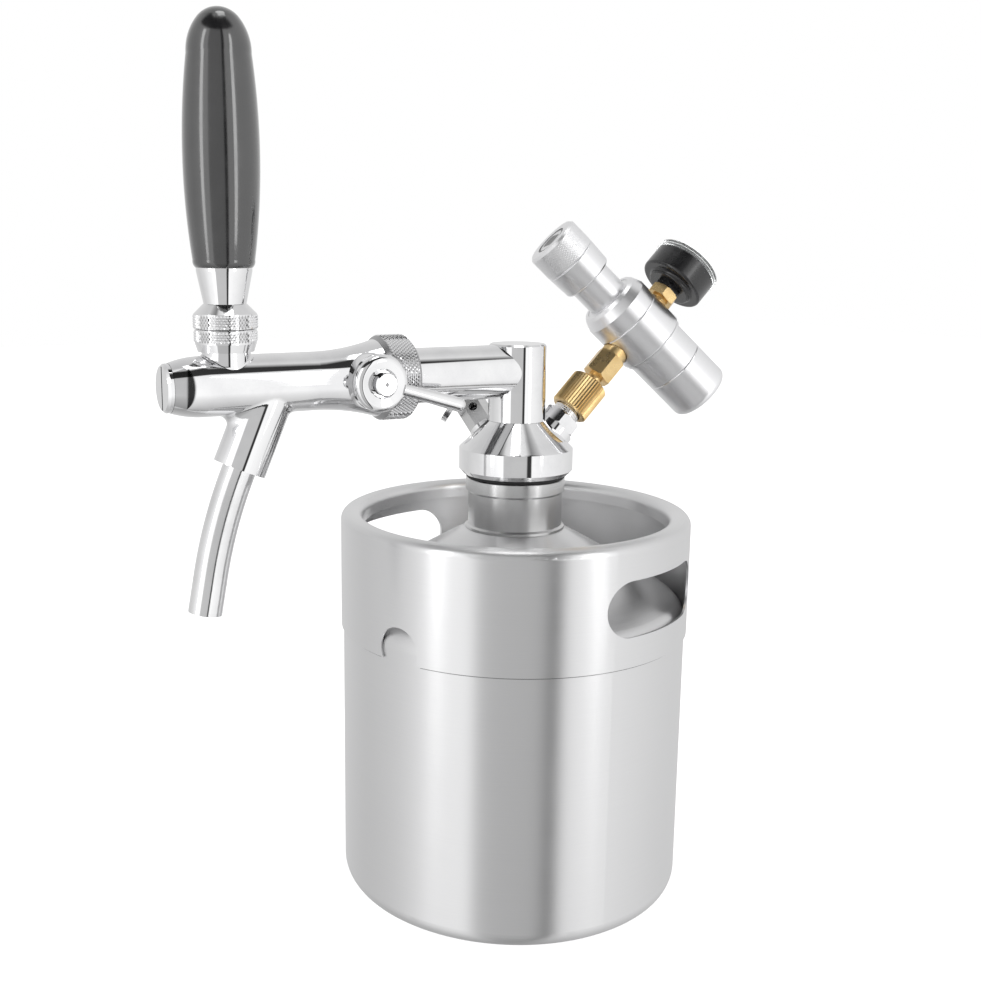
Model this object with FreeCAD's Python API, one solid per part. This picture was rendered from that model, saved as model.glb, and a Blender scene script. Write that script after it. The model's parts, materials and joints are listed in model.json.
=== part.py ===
import FreeCAD, Part
import math
import os

from FreeCAD import Placement, Rotation, Vector

# Mini keg with a screw-on tap head, a flow-control tap and a small gas regulator.
# Millimetres. The origin is the centre of the keg's base, on the ground.
# +Z is up, -Y is the front (towards the spout), +X is the side of the flow lever.

os.makedirs("parts", exist_ok=True)

# Clearances shared by every fit
static_gap = 0.1        # between pieces that are screwed or pressed together
run_gap = 0.4           # between round faces that move past each other
face_gap = 0.3          # between flat or domed faces that move past each other

# Keg shell
shell_radius = 79.0
shell_wall = 1.0
base_corner = 8.0
base_dish = 5.0
base_ring_width = 12.0
knuckle_radius = 12.0
knuckle_turn = 56.0     # degrees of the knuckle before the dome takes over
dome_edge_slope = 28.0  # degrees, slope of the dome where the neck starts
straight_top = 127.5    # height where the straight wall ends

# Collar round the top of the shell
collar_wall = 0.9
collar_overlap = 4.5
collar_height = 53.0
rim_width = 10.0
rim_corner = 3.5
rim_crown = 12.0        # degrees of slope where the crowned top meets the corners
rim_lip = 4.5           # drop of the inner edge below the inner corner
slot_length = 66.0
slot_height = 24.5
slot_rise = 25.3        # middle of the slots above the collar's lower edge
slot_azimuth = 21.3     # degrees from +X
notch_width = 20.5
notch_rise = 15.0
notch_azimuth = 111.3

# Keg neck
neck_radius = 21.5
neck_wall = 2.5
neck_rise = 15.8        # above the collar's rim
neck_depth = 7.0        # reach of the neck below the top of the dome
neck_bead = 1.1
neck_bead_height = 6.0
neck_step = 1.3
neck_step_height = 1.8

# Screw cap
gasket_thick = 1.4
gasket_width = 3.8
cap_radius = 26.0
cap_ring_height = 12.2
cap_chamfer = 2.2
cone_height = 12.0
spigot_depth = 12.0
gas_duct_radius = 1.6
gas_duct_offset = 9.0

# Riser post and shank
post_radius = 13.0
post_rise = 12.3        # above the tap's axis
post_chamfer = 0.8
post_spigot_radius = 7.9
post_spigot_depth = 10.0
beer_bore = 3.0
tap_rise = 22.5         # the tap's axis above the cone
shank_radius = 12.0
shank_bore = 4.0
shank_end = 62.2        # distance of the shank's end from the keg's axis
shank_flange = 1.9
shank_flange_length = 2.4
tail_gasket_thick = 1.5

# Dip tube
dip_radius = 4.0
dip_wall = 0.6
dip_reach = 9.0         # height of its lower end
dip_seat = 12.0         # how far it goes up into the cap
gland_flats = 14.0
gland_height = 6.0

# Coupling nut
nut_radius = 17.7
nut_front = 71.6
nut_back = 56.8
nut_chamfer = 1.6
nut_thread = 14.0       # radius of the tap's threaded tail

# Tap body
flare_radius = 16.3
flare_start = 71.9
waist_radius = 12.2
waist_station = 100.0
nose_radius = 9.9
nose_start = 10.5       # this and the next three sizes are forward of the lever
nose_reach = 24.0
plug_reach = 14.5
guide_reach = 10.0
guide_length = 15.0
inlet_bore = 8.2
seat_station = 102.0
seat_thick = 4.0
seat_bore = 4.8
chamber_bore = 7.0
plug_thread = 8.0
plug_head = 2.4
plug_slot = 1.1

# Spout
spout_station = 117.5   # where the stub's axis leaves the tap's axis
spout_lean = 23.2       # degrees from straight down, leaning forward
stub_radius = 11.0
stub_length = 37.3
stub_root_fillet = 4.0
tube_radius = 7.0
tube_wall = 1.0
tube_socket = 13.5
tube_lead = 1.6
bend_radius = 195.0
bend_turn = 12.8
tube_end = 16.0
outlet_bore = 5.5
spout_seal_thick = 1.3

# Handle lever and the bonnet that holds its ball
lever_station = 136.5
pivot_rise = 15.0       # this and the rises below are above the tap's axis
ball_radius = 6.0
handle_swing = 22.0     # degrees forward
stud_radius = 2.5
stud_rise = 72.0
arm_radius = 1.7
arm_ball = 2.6
tap_neck_radius = 9.7
tap_neck_rise = 13.4
tap_neck_thread = 9.0
neck_root_fillet = 1.2
bonnet_radius = 12.2
bonnet_foot = 11.2
bonnet_low_rise = 13.7
bonnet_rise = 22.2
lock_radius = 12.4
lock_band_rise = 28.6
lock_rise = 32.3
lock_top_radius = 8.7
ferrule_rise = 46.4
ferrule_radius = 11.0
grip_foot = 11.2
grip_low = 12.2
grip_low_rise = 49.5
grip_belly = 14.9
grip_belly_rise = 88.0
grip_shoulder = 12.5
grip_shoulder_rise = 126.8
grip_brow = 7.9
grip_brow_rise = 140.2
grip_rise = 143.9

# Valve plunger
plunger_disc = 6.2
plunger_disc_length = 2.4
plunger_seal_thick = 0.9
plunger_stem = 2.4

# Flow control
flow_station = 77.6
flow_boss = 11.8
flow_boss_reach = 16.5
flow_ring_radius = 11.4
flow_ring_reach = 18.3
flow_disc = 11.9
flow_disc_reach = 22.6
flow_shaft = 3.9
flow_offset = 2.5       # eccentric offset of the drive pin
flow_pin = 1.5
flow_mid = 30.0         # degrees of lever travel where the pin is at mid stroke
flow_droop = 16.5       # degrees that the lever points below level
flow_lever_plane = 21.2
flow_lever_root = 2.5
flow_lever_tip = 3.1
flow_lever_length = 40.0
hub_radius = 4.9
hub_reach = 25.5
compensator_front = 92.0
compensator_back = 67.0
compensator_nose = 4.2
compensator_base = 7.2

# Fittings at 45 degrees on the cone
port_radius = 19.5      # distance of the port's seat from the keg's axis
port_rise = 6.0         # above the cap's ring
port_slope = 45.0
inlet_boss = 9.6
inlet_boss_rise = 1.6
adapter_flats = 16.8
adapter_hex_top = 8.2
adapter_thread = 6.2
adapter_end = 16.0
adapter_stem = 4.9
adapter_stem_depth = 7.5
swivel_radius = 9.1
swivel_rib = 0.45
swivel_ribs = 40
swivel_start = 12.3
swivel_end = 29.7
swivel_lip = 20.1
stem_tube = 3.5
stem_hex_flats = 12.6
stem_hex_start = 33.5
stem_hex_end = 46.0
stem_flange = 6.2
port_thread = 4.1

# Relief valve
relief_azimuth = 195.0  # degrees from +X
relief_boss = 7.6
relief_flats = 12.5
relief_top = 16.0
relief_bore = 3.2
relief_stem = 1.4
relief_vent = 2.0
relief_vent_station = 10.0
relief_face_turn = 43.0
eye_station = 23.0
eye_radius = 4.0
eye_hole = 2.4
eye_thick = 1.6
eye_turn = 32.0         # degrees round the valve's axis
ring_mean = 8.3
ring_thick = 1.3
ring_width = 2.6
ring_azimuth = 145.6    # degrees from +X, the level line in the ring's plane
ring_lean = 30.5        # degrees from straight down, away from the cap

# Regulator, measured from where its axis crosses the fitting's axis
regulator_station = 65.2
regulator_turn = -13.5  # degrees round the fitting's axis
body_radius = 16.6
body_low = -10.8
body_shoulder = 14.2
body_top = 20.0
body_top_radius = 13.6
body_groove_station = 6.1
groove_depth = 0.4
chamber_radius = 12.0
chamber_floor = 5.5
spot_face = 12.0
spot_depth = 1.6
bonnet_neck = 10.1
bonnet_neck_top = 33.0
bonnet_inner = 9.3
bonnet_inner_top = 46.0
spring_bore = 7.2
collar_radius = 14.9
collar_low = -26.5
socket_low = -47.0
socket_round = 3.2
cartridge_bore = 4.5
cartridge_lead = 1.2
cartridge_thread = 10.0
undercut_radius = 5.2
cartridge_depth = 15.0
knob_start = 33.5
knob_end = 58.6
knob_radius = 13.0
knob_skirt = 12.4
knob_band = 45.6
knob_screw = 3.0
knob_screw_low = 22.0
inlay_radius = 7.6
inlay_thick = 0.8
follower_top = 31.5
follower_thick = 5.0
follower_travel = 2.0
spring_wire = 0.9
spring_mean = 5.4
spring_turns = 5
piston_thick = 3.0

# Gauge, measured along the fitting's axis
gauge_thread_end = 83.5
gauge_hex_end = 88.5
gauge_socket_end = 91.0
gauge_back = 93.0
gauge_front = 105.7
gauge_radius = 15.8
gauge_wall = 1.2
gauge_boss = 11.0
gauge_back_round = 1.2
lens_radius = 16.4
lens_thick = 1.8
dial_station = 101.8
dial_thick = 0.8
needle_station = 103.6
needle_length = 11.0
needle_tail = 4.0
needle_angle = 135.0    # degrees, where the pointer rests at zero
arbor_radius = 0.5
bourdon_mean = 9.0
bourdon_tube = 1.5

up = Vector(0, 0, 1)
hex_half = 30.0         # degrees between a corner of a hexagon and the middle of its face

# Stations and heights that follow from the sizes above
seam_height = straight_top - collar_overlap
rim_height = seam_height + collar_height
slot_centre = seam_height + slot_rise
nose_station = lever_station + nose_start
nose_end = lever_station + nose_reach
plug_station = lever_station + plug_reach
guide_front = lever_station + guide_reach
guide_back = guide_front - guide_length
neck_top = rim_height + neck_rise
gasket_low = neck_top + static_gap
cap_bottom = gasket_low + gasket_thick
cap_ring_top = cap_bottom + cap_ring_height
cone_top = cap_ring_top + cone_height
port_height = cap_ring_top + port_rise
tap_height = cone_top + tap_rise
post_top = tap_height + post_rise
pivot_height = tap_height + pivot_rise
lock_top = tap_height + lock_rise
ferrule_top = tap_height + ferrule_rise
stud_top = tap_height + stud_rise


# Building helpers

def point(r, h):
    return Vector(r, 0, h)


def line(a, b):
    return Part.LineSegment(point(*a), point(*b)).toShape()


def arc(a, middle, b):
    return Part.Arc(point(*a), point(*middle), point(*b)).toShape()


def crown(top, edge):
    # An arc from a point on the axis, where it is level, to a point off the axis.
    reach = edge[0]
    drop = top[1] - edge[1]
    radius = (reach ** 2 + drop ** 2) / (2 * drop)
    half = math.asin(reach / radius) / 2
    middle = (radius * math.sin(half), top[1] - radius + radius * math.cos(half))
    return arc(top, middle, edge)


def revolve(edges):
    wire = Part.Wire(Part.__sortEdges__(edges))
    return Part.Face(wire).revolve(Vector(0, 0, 0), up, 360)


def turned(outline):
    # A turned piece from its half outline, listed as (radius, height) corners.
    corners = list(outline) + [outline[0]]
    edges = [line(a, b) for a, b in zip(corners, corners[1:]) if a != b]
    return revolve(edges)


def rod(radius, low, high):
    return Part.makeCylinder(radius, high - low, Vector(0, 0, low))


def pipe(outer, inner, low, high):
    return rod(outer, low, high).cut(rod(inner, low - 1, high + 1))


def hex_bar(flats, low, high, turn=0.0):
    corner = flats / math.sqrt(3)
    spots = [math.radians(turn + 60 * i) for i in range(7)]
    corners = [Vector(corner * math.cos(a), corner * math.sin(a), low) for a in spots]
    bar = Part.Face(Part.makePolygon(corners)).extrude(Vector(0, 0, high - low))
    crown = flats / 2 + 0.35
    slope = corner - crown
    dress = turned([(0, low), (crown, low), (corner, low + slope), (corner, high - slope),
                    (crown, high), (0, high)])
    return bar.common(dress)


def box(x0, x1, y0, y1, z0, z1):
    return Part.makeBox(x1 - x0, y1 - y0, z1 - z0, Vector(x0, y0, z0))


def ball(radius, height=0.0):
    return Part.makeSphere(radius, Vector(0, 0, height))


def stand(shape, origin, axis, across=None):
    # Moves a piece built on +Z so that it stands on another axis.
    if across is None:
        turn = Rotation(up, axis)
    else:
        turn = Rotation(across, axis.cross(across), axis, "ZXY")
    moved = shape.copy()
    moved.Placement = Placement(origin, turn).multiply(moved.Placement)
    return moved


def save(name, shape):
    solids = shape.Solids
    if not shape.isValid() or not solids:
        raise RuntimeError("bad solid: " + name)
    keep = solids[0] if len(solids) == 1 else Part.makeCompound(solids)
    keep.exportStep("parts/" + name + ".step")
    print(name, len(solids), round(shape.Volume, 1))


# Local axes

def on_tap(shape):
    # Height along the local axis is the distance forward of the keg's axis.
    return stand(shape, Vector(0, 0, tap_height), Vector(0, -1, 0), Vector(1, 0, 0))


def port_frame(azimuth):
    angle = math.radians(azimuth)
    slope = math.radians(port_slope)
    out = Vector(math.cos(angle), math.sin(angle), 0)
    seat = out * port_radius + up * port_height
    return seat, out * math.cos(slope) + up * math.sin(slope), out


def on_port(shape, azimuth):
    seat, axis, out = port_frame(azimuth)
    return stand(shape, seat, axis, up.cross(out))


inlet_azimuth = 90.0
inlet_seat, inlet_axis, inlet_out = port_frame(inlet_azimuth)
regulator_centre = inlet_seat + inlet_axis * regulator_station
lean_back = Vector(0, -1, 0) * math.sin(math.radians(port_slope)) + up * math.cos(math.radians(port_slope))
regulator_axis = (lean_back * math.cos(math.radians(regulator_turn))
                  + Vector(1, 0, 0) * math.sin(math.radians(regulator_turn)))


def on_inlet(shape):
    return stand(shape, inlet_seat, inlet_axis, regulator_axis)


def on_regulator(shape):
    return stand(shape, regulator_centre, regulator_axis, inlet_axis)


def across_regulator(shape):
    # Ports of the regulator: height is measured from its own axis towards the gauge.
    return stand(shape, Vector(0, 0, 0), Vector(1, 0, 0), Vector(0, 0, 1))


# Keg

dome_run = shell_radius - knuckle_radius + knuckle_radius * math.cos(math.radians(knuckle_turn))
dome_bore = neck_radius + neck_step


def shell_outline(inset):
    # Half outline of the keg, set in by the wall for the inside.
    wall_r = shell_radius - inset
    corner = base_corner - inset
    centre_r = shell_radius - base_corner
    ring_r = centre_r - base_ring_width
    diag = math.sqrt(0.5)
    edges = [crown((0, base_dish + inset), (ring_r, inset)),
             line((ring_r, inset), (centre_r, inset)),
             arc((centre_r, inset), (centre_r + corner * diag, base_corner - corner * diag),
                 (wall_r, base_corner)),
             line((wall_r, base_corner), (wall_r, straight_top))]
    turn = math.radians(knuckle_turn)
    knuckle = knuckle_radius - inset
    knuckle_r = shell_radius - knuckle_radius
    on_knuckle = [(knuckle_r + knuckle * math.cos(a), straight_top + knuckle * math.sin(a))
                  for a in (0, turn / 2, turn)]
    edges.append(arc(*on_knuckle))
    dome = dome_radius() - inset
    slopes = [math.pi / 2 - turn, (math.pi / 2 - turn + math.radians(dome_edge_slope)) / 2,
              math.radians(dome_edge_slope)]
    centre = dome_centre()
    on_dome = [(centre[0] + dome * math.sin(a), centre[1] + dome * math.cos(a)) for a in slopes]
    edges.append(arc(*on_dome))
    edges.append(line(on_dome[2], (0, on_dome[2][1])))
    edges.append(line((0, on_dome[2][1]), (0, base_dish + inset)))
    return edges


def dome_radius():
    steep = math.radians(90 - knuckle_turn)
    flat = math.radians(dome_edge_slope)
    return (dome_run - dome_bore) / (math.sin(steep) - math.sin(flat))


def dome_centre():
    steep = math.radians(90 - knuckle_turn)
    edge_r = dome_run
    edge_z = straight_top + knuckle_radius * math.sin(math.radians(knuckle_turn))
    radius = dome_radius()
    return edge_r - radius * math.sin(steep), edge_z - radius * math.cos(steep)


dome_top = dome_centre()[1] + dome_radius() * math.cos(math.radians(dome_edge_slope))
neck_low = dome_top - neck_depth
neck_bore = neck_radius - neck_wall


def make_shell():
    hollow = revolve(shell_outline(0)).cut(revolve(shell_outline(shell_wall)))
    return hollow.cut(rod(neck_radius + static_gap, dome_top - 10, dome_top + 10))


def radial_slot(width, low, high, azimuth):
    # An upright obround cutter that reaches out through one side of the collar.
    radius = min(width, high - low) / 2
    reach = shell_radius + 20
    middle = (low + high) / 2
    if width > high - low:
        ends = [-width / 2 + radius, width / 2 - radius]
        core = box(10, reach, ends[0], ends[1], low, high)
        rounds = [Part.makeCylinder(radius, reach - 10, Vector(10, y, middle), Vector(1, 0, 0)) for y in ends]
    else:
        core = box(10, reach, -width / 2, width / 2, low, high - radius)
        rounds = [Part.makeCylinder(radius, reach - 10, Vector(10, 0, high - radius), Vector(1, 0, 0))]
    cutter = core.multiFuse(rounds)
    cutter.rotate(Vector(0, 0, 0), up, azimuth)
    return cutter


collar_inner = shell_radius + static_gap
collar_outer = collar_inner + collar_wall


def rim_outline(inset):
    # The rolled rim from its outer foot over the crowned top to its inner lip: two corners
    # and the crown between them, each tangent to the next, set in by the sheet for the inside.
    crown_angle = math.radians(rim_crown)
    middle = collar_outer - rim_width / 2
    spread = rim_width / 2 - rim_corner
    crown_radius = rim_corner + spread / math.sin(crown_angle)
    crown_centre = rim_height - crown_radius
    corner_height = crown_centre + (crown_radius - rim_corner) * math.cos(crown_angle)
    corner = rim_corner - inset

    def on_corner(side, degrees):
        a = math.radians(degrees)
        return middle + side * (spread + corner * math.cos(a)), corner_height + corner * math.sin(a)

    steep = 90 - rim_crown
    outer = [on_corner(1, 0), on_corner(1, steep / 2), on_corner(1, steep)]
    inner = [on_corner(-1, steep), on_corner(-1, steep / 2), on_corner(-1, 0)]
    lip = (inner[2][0], corner_height - rim_lip)
    edges = [arc(*outer),
             arc(outer[2], (middle, rim_height - inset), inner[0]),
             arc(*inner),
             line(inner[2], lip)]
    return edges, outer[0], lip


def make_collar():
    outside, outer_foot, outer_lip = rim_outline(0)
    inside, inner_foot, inner_lip = rim_outline(collar_wall)
    edges = [line((collar_inner, seam_height), (collar_outer, seam_height)),
             line((collar_outer, seam_height), outer_foot),
             line(outer_lip, inner_lip),
             line(inner_foot, (collar_inner, seam_height))]
    edges.extend(outside)
    edges.extend(inside)
    collar = revolve(edges)
    half = slot_height / 2
    cutters = []
    for turn in (0, 180):
        cutters.append(radial_slot(slot_length, slot_centre - half, slot_centre + half, slot_azimuth + turn))
        cutters.append(radial_slot(notch_width, seam_height - 5, seam_height + notch_rise, notch_azimuth + turn))
    return collar.cut(cutters)


def make_neck():
    foot = dome_top + static_gap
    bead_low = neck_top - neck_bead_height
    soft = neck_bead * 0.6
    outline = [(neck_bore, neck_low), (neck_radius, neck_low), (neck_radius, foot),
               (neck_radius + neck_step, foot), (neck_radius + neck_step, foot + neck_step_height * 0.6),
               (neck_radius, foot + neck_step_height), (neck_radius, bead_low - neck_bead),
               (neck_radius + neck_bead, bead_low), (neck_radius + neck_bead, neck_top - soft),
               (neck_radius + neck_bead - soft, neck_top), (neck_bore, neck_top)]
    return turned(outline)


# Cap

spigot_radius = neck_bore - run_gap
spigot_low = cap_bottom - spigot_depth


def port_cutter(thread, depth, duct):
    # The tapped port and the thin duct behind it, on the port's own axis.
    return rod(thread, -depth, 6).fuse(rod(duct, -depth - 7.5, 0))


def make_cap():
    outline = [(0, spigot_low), (spigot_radius, spigot_low), (spigot_radius, cap_bottom),
               (cap_radius - cap_chamfer, cap_bottom), (cap_radius, cap_bottom + cap_chamfer),
               (cap_radius, cap_ring_top - 0.4), (cap_radius - 0.4, cap_ring_top),
               (post_radius, cone_top), (0, cone_top)]
    cap = turned(outline)
    cap = cap.fuse(on_port(rod(inlet_boss, -6, inlet_boss_rise), inlet_azimuth))
    cap = cap.fuse(on_port(rod(relief_boss, -5, 1.0), relief_azimuth))
    cutters = [rod(post_spigot_radius + static_gap, cone_top - post_spigot_depth, cone_top + 5),
               rod(post_radius + static_gap, cone_top, cone_top + 10),
               rod(dip_radius + static_gap, spigot_low - 1, spigot_low + dip_seat),
               rod(beer_bore, spigot_low, cone_top)]
    cutters.append(on_port(port_cutter(adapter_stem + static_gap, adapter_stem_depth + 1, gas_duct_radius),
                           inlet_azimuth))
    cutters.append(on_port(port_cutter(3.5 + static_gap, 6, 1.2), relief_azimuth))
    for azimuth in (inlet_azimuth, relief_azimuth):
        angle = math.radians(azimuth)
        place = Vector(gas_duct_offset * math.cos(angle), gas_duct_offset * math.sin(angle), spigot_low - 1)
        cutters.append(Part.makeCylinder(gas_duct_radius, cap_bottom + 9 - spigot_low, place))
    return cap.cut(cutters)


def make_gasket():
    outer = neck_radius + neck_bead
    return pipe(outer, outer - gasket_width, gasket_low, gasket_low + gasket_thick)


def make_post():
    seat = cone_top + static_gap
    post = turned([(0, seat - post_spigot_depth + 1), (post_spigot_radius, seat - post_spigot_depth + 1),
                   (post_spigot_radius, seat), (post_radius, seat), (post_radius, post_top - post_chamfer),
                   (post_radius - post_chamfer, post_top), (0, post_top)])
    bores = rod(beer_bore, seat - post_spigot_depth, tap_height).fuse(on_tap(rod(shank_bore, 0, 20)))
    return post.cut(bores)


def make_shank():
    flange_start = shank_end - shank_flange_length
    tube = turned([(0, 2), (shank_radius, 2), (shank_radius, flange_start),
                   (shank_radius + shank_flange, flange_start), (shank_radius + shank_flange, shank_end),
                   (0, shank_end)])
    tube = tube.cut(rod(shank_bore, 0, shank_end + 1))
    across = 2 * shank_radius
    return on_tap(tube).cut(rod(post_radius + static_gap / 2, tap_height - across, tap_height + across))


def make_dip_tube():
    return pipe(dip_radius, dip_radius - dip_wall, dip_reach, spigot_low + dip_seat - 0.5)


def make_gland():
    nut = hex_bar(gland_flats, spigot_low - static_gap - gland_height, spigot_low - static_gap)
    return nut.cut(rod(dip_radius + static_gap, spigot_low - 20, spigot_low + 1))


# Tap

def tap_outline():
    tail = shank_end + tail_gasket_thick + 2 * static_gap
    flare_run = waist_station - flare_start
    flare_rise = flare_radius - waist_radius
    flare_bend = (flare_run ** 2 + flare_rise ** 2) / (2 * flare_rise)
    half = flare_run / 2
    flare_mid = (waist_radius + flare_bend - math.sqrt(flare_bend ** 2 - half ** 2), waist_station - half)
    nose_run = nose_end - nose_station
    nose_drop = waist_radius - nose_radius
    nose_bend = (nose_run ** 2 + nose_drop ** 2) / (2 * nose_drop)
    nose_half = nose_run / 2
    nose_mid = (waist_radius - nose_bend + math.sqrt(nose_bend ** 2 - nose_half ** 2), nose_station + nose_half)
    return [line((0, tail), (nut_thread, tail)),
            line((nut_thread, tail), (nut_thread, flare_start)),
            line((nut_thread, flare_start), (flare_radius, flare_start)),
            arc((flare_radius, flare_start), flare_mid, (waist_radius, waist_station)),
            line((waist_radius, waist_station), (waist_radius, nose_station)),
            arc((waist_radius, nose_station), nose_mid, (nose_radius, nose_end)),
            line((nose_radius, nose_end), (0, nose_end)),
            line((0, nose_end), (0, tail))]


spout_origin = Vector(0, -spout_station, tap_height)
spout_angle = math.radians(spout_lean)
spout_axis = Vector(0, -math.sin(spout_angle), -math.cos(spout_angle))


def on_spout(shape):
    return stand(shape, spout_origin, spout_axis, Vector(1, 0, 0))


def on_flow(shape):
    return stand(shape, Vector(0, -flow_station, tap_height), Vector(1, 0, 0), Vector(0, 1, 0))


def at_lever(shape):
    moved = shape.copy()
    moved.translate(Vector(0, -lever_station, 0))
    return moved


def swing_slot(low, high, back, front, half_width):
    # A slot along the tap, at the lever, for the swing of a round stem.
    core = box(-half_width, half_width, -front + half_width, -back - half_width, low, high)
    ends = [Part.makeCylinder(half_width, high - low, Vector(0, y, low))
            for y in (-front + half_width, -back - half_width)]
    return core.multiFuse(ends)


def blend_onto(solid, piece, radius, clear):
    # Fuses a piece on and rounds the join; clear tells the join's edges from the others.
    both = solid.fuse(piece).removeSplitter()
    edges = [edge for edge in both.Edges if clear(edge)]
    return both.makeFillet(radius, edges)


def on_both(edge, first, second):
    # True where the edge lies at one radius from each of two axes, given as (origin, axis, radius).
    start = edge.FirstParameter
    for place in (edge.valueAt(start), edge.valueAt((start + edge.LastParameter) / 2)):
        for origin, axis, radius in (first, second):
            arm = place - origin
            away = (arm - axis * arm.dot(axis)).Length
            if abs(away - radius) > 0.02:
                return False
    return True


def make_tap_body():
    barrel = on_tap(revolve(tap_outline()))
    barrel_line = (Vector(0, 0, tap_height), Vector(0, -1, 0), waist_radius)
    stub_line = (spout_origin, spout_axis, stub_radius)
    neck_line = (Vector(0, -lever_station, 0), up, tap_neck_radius)
    stub = on_spout(rod(stub_radius, 4, stub_length))
    solid = blend_onto(barrel, stub, stub_root_fillet, lambda edge: on_both(edge, barrel_line, stub_line))
    neck = at_lever(rod(tap_neck_radius, tap_height, tap_height + tap_neck_rise))
    solid = blend_onto(solid, neck, neck_root_fillet, lambda edge: on_both(edge, barrel_line, neck_line))
    boss = on_flow(rod(flow_boss, 0, flow_boss_reach))
    boss = boss.cut(on_tap(rod(nut_radius + run_gap, nut_back, nut_front + face_gap)))
    solid = solid.multiFuse([boss, at_lever(rod(tap_neck_thread, tap_height, pivot_height + 0.6))])
    return solid.cut(tap_bores())


def tap_bores():
    tail = shank_end
    pivot = Vector(0, -lever_station, pivot_height)
    wide = arm_ball + face_gap
    arm_reach = (pivot_height - tap_height) * math.tan(math.radians(handle_swing)) + wide
    cutters = [on_tap(rod(inlet_bore, tail, seat_station)),
               on_tap(rod(seat_bore, tail, plug_station)),
               on_tap(rod(chamber_bore, seat_station + seat_thick, plug_station)),
               on_tap(rod(plug_thread + static_gap, plug_station, nose_end + 1)),
               Part.makeSphere(ball_radius + face_gap, pivot),
               at_lever(swing_slot(tap_height, pivot_height, -arm_reach, wide, wide)),
               on_spout(rod(outlet_bore, 0, stub_length + 1)),
               on_spout(rod(tube_radius + static_gap, stub_length - tube_socket - spout_seal_thick,
                            stub_length + 1)),
               on_flow(rod(flow_shaft + run_gap, 0, flow_boss_reach + 1))]
    return cutters[0].multiFuse(cutters[1:])


def make_front_plug():
    start = plug_station + 1.5
    head = nose_end + static_gap
    outer = nose_radius - 0.1
    plug = turned([(0, start), (plug_thread, start), (plug_thread, head), (outer, head),
                   (outer, head + plug_head - 1.0), (outer - 0.9, head + plug_head), (0, head + plug_head)])
    face = head + plug_head
    slot = box(-plug_slot / 2, plug_slot / 2, -outer + 1.2, outer - 1.2, face - 1.2, face + 1)
    return on_tap(plug.cut(slot))


def make_spout_tube():
    # A straight lead from the socket, one bend and a straight end, on the stub's axis.
    start = stub_length - tube_socket
    turn_at = stub_length + tube_lead
    inner = tube_radius - tube_wall
    lead = pipe(tube_radius, inner, start, turn_at)
    ring = Part.Face([Part.Wire(Part.makeCircle(tube_radius, Vector(0, 0, turn_at))),
                      Part.Wire(Part.makeCircle(inner, Vector(0, 0, turn_at)))])
    pivot = Vector(0, -bend_radius, turn_at)
    bend = ring.revolve(pivot, Vector(1, 0, 0), bend_turn)
    end = pipe(tube_radius, inner, turn_at, turn_at + tube_end)
    end.rotate(pivot, Vector(1, 0, 0), bend_turn)
    return on_spout(lead.multiFuse([bend, end]).removeSplitter())


def make_spout_seal():
    low = stub_length - tube_socket - spout_seal_thick + static_gap
    return on_spout(pipe(tube_radius, outlet_bore, low, stub_length - tube_socket - static_gap))


def make_tail_gasket():
    low = shank_end + static_gap
    return on_tap(pipe(shank_radius + 0.8, shank_bore, low, low + tail_gasket_thick))


def make_coupling_nut():
    outline = [(nut_thread + run_gap, nut_front), (nut_radius - nut_chamfer, nut_front),
               (nut_radius, nut_front - nut_chamfer), (nut_radius, nut_back + nut_chamfer),
               (nut_radius - nut_chamfer, nut_back), (shank_radius + run_gap, nut_back),
               (shank_radius + run_gap, shank_end - shank_flange_length - face_gap),
               (nut_thread + run_gap, shank_end - shank_flange_length - face_gap)]
    return on_tap(turned(outline))


# Handle and its ball

dome_reach = math.hypot(bonnet_radius, bonnet_rise - pivot_rise)


def make_lever_bonnet():
    # A nut whose top is a dome about the pivot, so that the lock nut can ride over it.
    low = bonnet_low_rise - pivot_rise
    high = bonnet_rise - pivot_rise
    lip = 3.2
    top_z = math.sqrt(dome_reach ** 2 - lip ** 2)
    mid_r = (bonnet_radius + lip) / 2
    mid_z = math.sqrt(dome_reach ** 2 - mid_r ** 2)
    thread = tap_neck_thread + static_gap
    edges = [line((thread, low), (bonnet_foot, low)),
             line((bonnet_foot, low), (bonnet_radius, low + 3.2)),
             line((bonnet_radius, low + 3.2), (bonnet_radius, high)),
             arc((bonnet_radius, high), (mid_r, mid_z), (lip, top_z)),
             line((lip, top_z), (lip, 4.5)),
             line((lip, 4.5), (thread, 1.2)),
             line((thread, 1.2), (thread, low))]
    nut = revolve(edges)
    nut = nut.cut(ball(ball_radius + face_gap))
    wide = stud_radius + run_gap
    reach = dome_reach * math.sin(math.radians(handle_swing)) + wide
    nut = nut.cut(swing_slot(0, 2 * dome_reach, -wide, reach, wide))
    nut.translate(Vector(0, -lever_station, pivot_height))
    return nut


def make_lever():
    stud_low = pivot_height
    pieces = [rod(stud_radius, stud_low, stud_top), ball(ball_radius, pivot_height),
              rod(arm_radius, tap_height, pivot_height), ball(arm_ball, tap_height)]
    return at_lever(pieces[0].multiFuse(pieces[1:]))


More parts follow.
